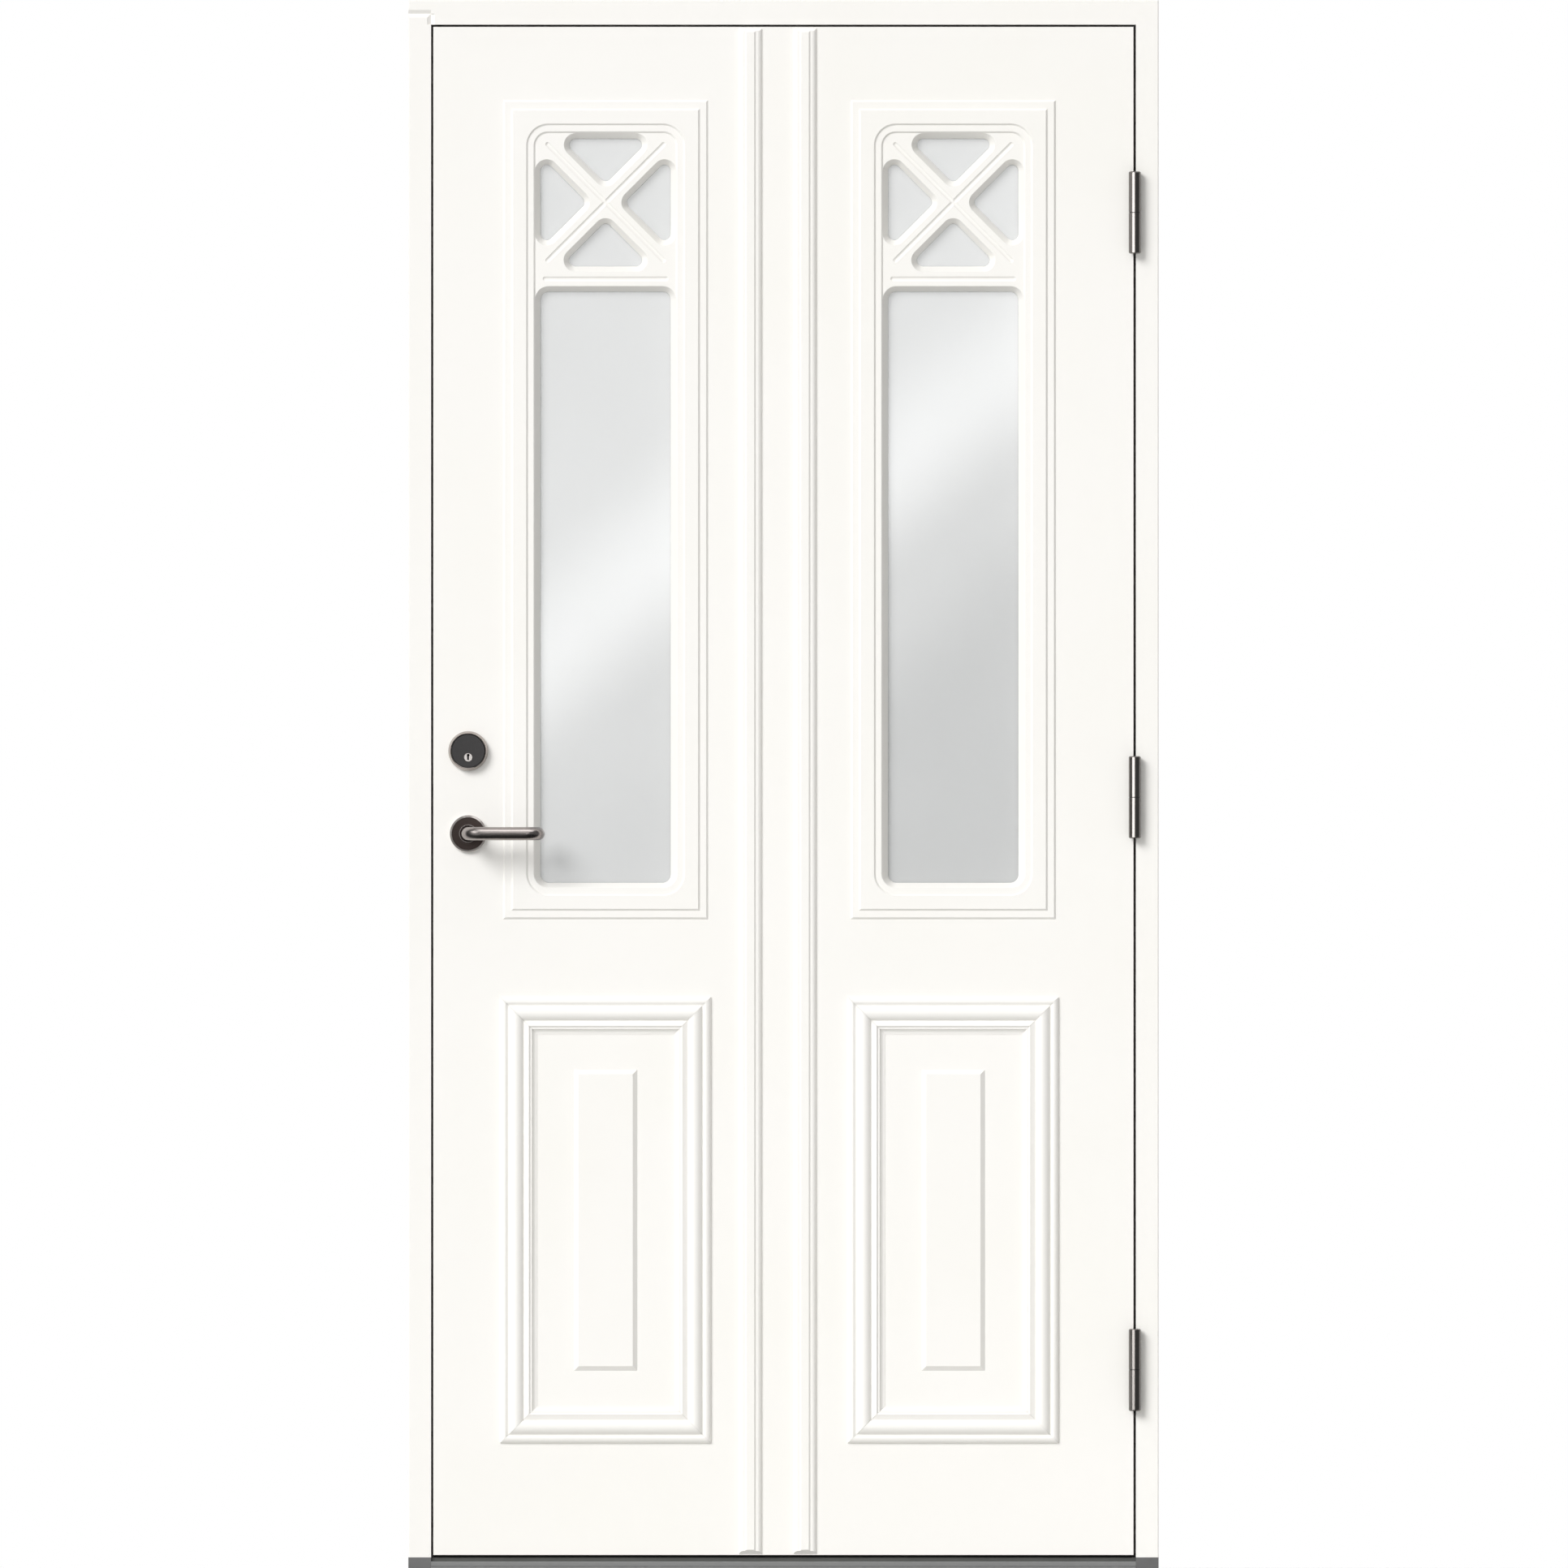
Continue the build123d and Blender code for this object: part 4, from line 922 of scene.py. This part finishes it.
@dataclass
class HandleSet:
    """A lever and a rose on each side of one spindle."""

    collar_front: float = mm(4.6)

    def build(self, nodes: Nodes, steel: bpy.types.Material) -> None:
        """Dresses the handle.

        Args:
            nodes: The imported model's nodes.
            steel: The spindle's steel.
        """
        axis = middle("spindle")
        reach = axis.y - corners("outer_rose")[0].y + self.collar_front
        dress(nodes, ["outer_lever", "inner_lever"], LeverNickel(axis, reach).build())
        rose = PaintedReflectionRose("handle_rose_painted_reflection", middle("outer_rose")).build()
        dress(nodes, ["outer_rose", "inner_rose"], rose)
        dress(nodes, ["spindle"], steel)


@dataclass
class HingeSet:
    """Three barrel hinges with their pins, washers and screws."""

    places: tuple[str, str, str] = ("upper", "middle", "lower")
    screw_inset: float = mm(4.5)
    outer_offset: float = mm(38.0)
    inner_offset: float = mm(14.0)

    def build(self, nodes: Nodes) -> None:
        """Dresses the hinges and makes their screws.

        Args:
            nodes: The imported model's nodes.
        """
        polished = BrushedMetal("polished_hinge_steel", "#736F6D", "#827E7B", 0.12, Lay.UPRIGHT).build()
        for half in ("frame", "leaf"):
            dress(nodes, [f"hinge_{half}_{place}" for place in self.places], polished)
        bright = BrushedMetal("bright_screw_steel", "#9A9B9C", "#AEAFB0", 0.3).build()
        dress(nodes, ["hinge_pins", "hinge_screws_frame", "hinge_screws_leaf"], bright)
        dress(nodes, ["hinge_washers"], GrainedPlastic("black_nylon", "#1B1B1B", "#262626", 0.4).build())
        face = corners("hinge_screws_frame")[0].x
        self.add_screws("frame", face, Vector((-1.0, 0.0, 0.0)), bright)
        face = corners("hinge_screws_leaf")[1].x
        self.add_screws("leaf", face, Vector((1.0, 0.0, 0.0)), bright)

    def add_screws(self, half: str, face: float, outward: Vector, steel: bpy.types.Material) -> None:
        """Adds the screws of one wing of every hinge, in two staggered rows.

        Args:
            half: The body that the wing is on.
            face: Where the wing's face is along X.
            outward: The direction that the heads face.
            steel: The screws' metal.
        """
        node = f"hinge_screws_{half}"
        low, high = corners(node)
        near, far = low.y + self.screw_inset, high.y - self.screw_inset
        spots = (
            (near, -self.outer_offset),
            (far, -self.inner_offset),
            (near, self.inner_offset),
            (far, self.outer_offset),
        )
        centres = [middle(f"hinge_{half}_{place}").z for place in self.places]
        heads = [Vector((face, y, centre + offset)) for centre in centres for y, offset in spots]
        CrossHeadScrews(node, half, heads, outward).build(steel)


class Hang(Enum):
    """How a card hangs, as the angle in degrees and the axis of its turn from lying flat."""

    FLAT = (0.0, "X")
    UPRIGHT = (90.0, "X")
    SIDEWAYS = (90.0, "Y")


@dataclass(frozen=True)
class Card:
    """A card that only reflections see. It takes the name of its glow."""

    glow: CardGlow | SkyGlow
    centre: Triple
    size: Pair
    hang: Hang

    def build(self) -> None:
        """Hangs the card."""
        shape = bmesh.new()
        bmesh.ops.create_grid(shape, x_segments=1, y_segments=1, size=0.5)
        bmesh.ops.scale(shape, verts=shape.verts, vec=(*self.size, 1.0))
        angle, axis = self.hang.value
        place = Matrix.Translation(self.centre) @ Matrix.Rotation(math.radians(angle), 4, axis)
        bmesh.ops.transform(shape, verts=shape.verts, matrix=place)
        card = add_piece(shape, f"{self.glow.name}_card", self.glow.build())
        card.visible_camera = False
        card.visible_diffuse = False
        card.visible_transmission = False
        card.visible_shadow = False


@dataclass(frozen=True)
class SoftLamp:
    """A soft lamp far off.

    Its share is its part of the brightness of a white surface that faces along Y, and its angle is how
    wide it looks from the door, in degrees. Metal and paint reflect only a glossy lamp.
    """

    name: str
    towards: Triple
    share: float
    angle: float
    glossy: bool

    def build(self) -> None:
        """Sets up the lamp."""
        towards = Vector(self.towards)
        lamp = bpy.data.lights.new(self.name, "SUN")
        lamp.energy = self.share * math.pi / abs(towards.normalized().y)
        lamp.angle = math.radians(self.angle)
        holder = bpy.data.objects.new(self.name, lamp)
        holder.rotation_euler = towards.to_track_quat("-Z", "Y").to_euler()
        holder.visible_glossy = self.glossy
        bpy.context.scene.collection.objects.link(holder)
        LOG.info("%s shines", self.name)


@dataclass
class Studio:
    """World, lamps, floor, cards for reflections and the camera.

    Each sky has its name, the middle of its light across the door, the height of its band's crest and
    the brightness at its foot.
    """

    picture_width: float = 2.0690
    picture_x: float = 0.0007
    picture_z: float = 1.0455
    door_front: float = -0.0525
    distance: float = 60.0
    sensor_mm: float = 36.0
    air: float = 0.462
    lamps: tuple[SoftLamp, ...] = (
        SoftLamp("key_lamp", (0.82, 1.0, -0.8), 0.475, 28.0, True),
        SoftLamp("back_lamp", (-0.6, -1.0, -0.3), 0.45, 30.0, False),
    )
    floor_half: float = 3.5
    floor_back: float = 0.6
    sky_distance: float = 20.0
    light_height: float = 1.4075
    light_size: Pair = (0.26, 1.1)
    skies: tuple[tuple[str, float, float, float], ...] = (
        ("sky_left", -0.2347, 1.281, 0.2),
        ("sky_right", 0.2241, 1.536, 0.0),
    )
    cards: tuple[Card, ...] = (
        Card(CardGlow("left_panel", 6.0), (-11.7, -20.0, 1.0), (19.4, 9.0), Hang.UPRIGHT),
        Card(CardGlow("dark_floor", 0.02), (0.0, -6.13, 0.02), (14.0, 12.15), Hang.FLAT),
        Card(CardGlow("dark_side", 0.17), (3.0, -5.8, 1.5), (6.0, 12.0), Hang.SIDEWAYS),
        Card(CardGlow("dark_flag", 0.05), (-0.5525, -0.2, 0.955), (0.295, 0.21), Hang.UPRIGHT),
        Card(CardGlow("dark_wing", 0.05), (-0.62, -0.33, 1.0), (1.4, 0.54), Hang.SIDEWAYS),
        Card(CardGlow("lever_shade", 0.05), (-0.367, -0.2, 0.929), (0.076, 0.15), Hang.UPRIGHT),
        Card(CardGlow("lever_light", 2.9, True), (-0.28, -0.256, 1.2), (0.3, 0.132), Hang.FLAT),
    )

    def build(self) -> None:
        """Makes the whole studio."""
        scene = bpy.context.scene
        scene.view_settings.view_transform = "Standard"
        self.light_air(scene)
        for lamp in self.lamps:
            lamp.build()
        self.lay_floor()
        self.hang_skies()
        for card in self.cards:
            card.build()
        self.place_camera(scene)

    def light_air(self, scene: bpy.types.Scene) -> None:
        """Makes an even light all round that the camera, metal and glass see as a white background.

        Args:
            scene: The scene.
        """
        scene.world = bpy.data.worlds.new("studio_air")
        scene.world.use_nodes = True
        tree = scene.world.node_tree
        tree.nodes.clear()
        path = add_node(tree, "ShaderNodeLightPath").outputs
        seen = path["Is Camera Ray"]
        for kind in ("Is Glossy Ray", "Is Transmission Ray"):
            seen = add_node(tree, "ShaderNodeMath", {0: seen, 1: path[kind]}, operation="MAXIMUM").outputs[0]
        air = add_node(tree, "ShaderNodeBackground", None, {"Color": grey(1.0), "Strength": self.air})
        backdrop = add_node(tree, "ShaderNodeBackground", None, {"Color": grey(1.0), "Strength": 1.0})
        both = add_node(tree, "ShaderNodeMixShader", {0: seen, 1: air.outputs[0], 2: backdrop.outputs[0]})
        add_node(tree, "ShaderNodeOutputWorld", {"Surface": both.outputs[0]})

    def lay_floor(self) -> None:
        """Lays the floor, which ends so near behind the door that the camera sees none of it there."""
        shape = bmesh.new()
        bmesh.ops.create_grid(shape, x_segments=1, y_segments=1, size=self.floor_half)
        bmesh.ops.translate(shape, verts=shape.verts, vec=(0.0, self.floor_back - self.floor_half, 0.0))
        add_piece(shape, "studio_floor", StudioFloor().build())

    def hang_skies(self) -> None:
        """Hangs a sky for each light of the door, as large as fills the light's reflection."""
        spread = 1.0 + self.sky_distance / self.distance
        size = (self.light_size[0] * spread, self.light_size[1] * spread)
        height = self.picture_z + (self.light_height - self.picture_z) * spread
        for name, light_x, crest_z, low in self.skies:
            sky = SkyGlow(name, light_x, crest_z, low, spread, self.picture_x, self.picture_z)
            Card(sky, (light_x * spread, -self.sky_distance, height), size, Hang.UPRIGHT).build()

    def place_camera(self, scene: bpy.types.Scene) -> None:
        """Sets a long lens straight in front of the door, as the picture has.

        Args:
            scene: The scene.
        """
        lens = bpy.data.cameras.new("camera")
        lens.sensor_width = self.sensor_mm
        lens.lens = lens.sensor_width * self.distance / self.picture_width
        lens.clip_end = 2.0 * self.distance
        camera = bpy.data.objects.new("camera", lens)
        camera.location = (self.picture_x, self.door_front - self.distance, self.picture_z)
        camera.rotation_euler = (math.radians(90.0), 0.0, 0.0)
        scene.collection.objects.link(camera)
        scene.camera = camera


def main() -> None:
    """Dresses the door part by part and sets up the studio."""
    logging.basicConfig(level=logging.INFO)
    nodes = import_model()["nodes"]
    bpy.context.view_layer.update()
    paint = SprayedPaint().build()
    nickel = BrushedMetal("brushed_nickel", "#938C89", "#A39C99", 0.24, Lay.ACROSS).build()
    steel = BrushedMetal("zinc_plated_steel", "#9C9D9E", "#B0B1B2", 0.32).build()
    DoorFrame().build(nodes, paint, steel)
    Threshold().build(nodes)
    Leaf().build(nodes, paint)
    LockSet().build(nodes, nickel, steel)
    HandleSet().build(nodes, steel)
    HingeSet().build(nodes)
    Studio().build()


if __name__ == "__main__":
    main()
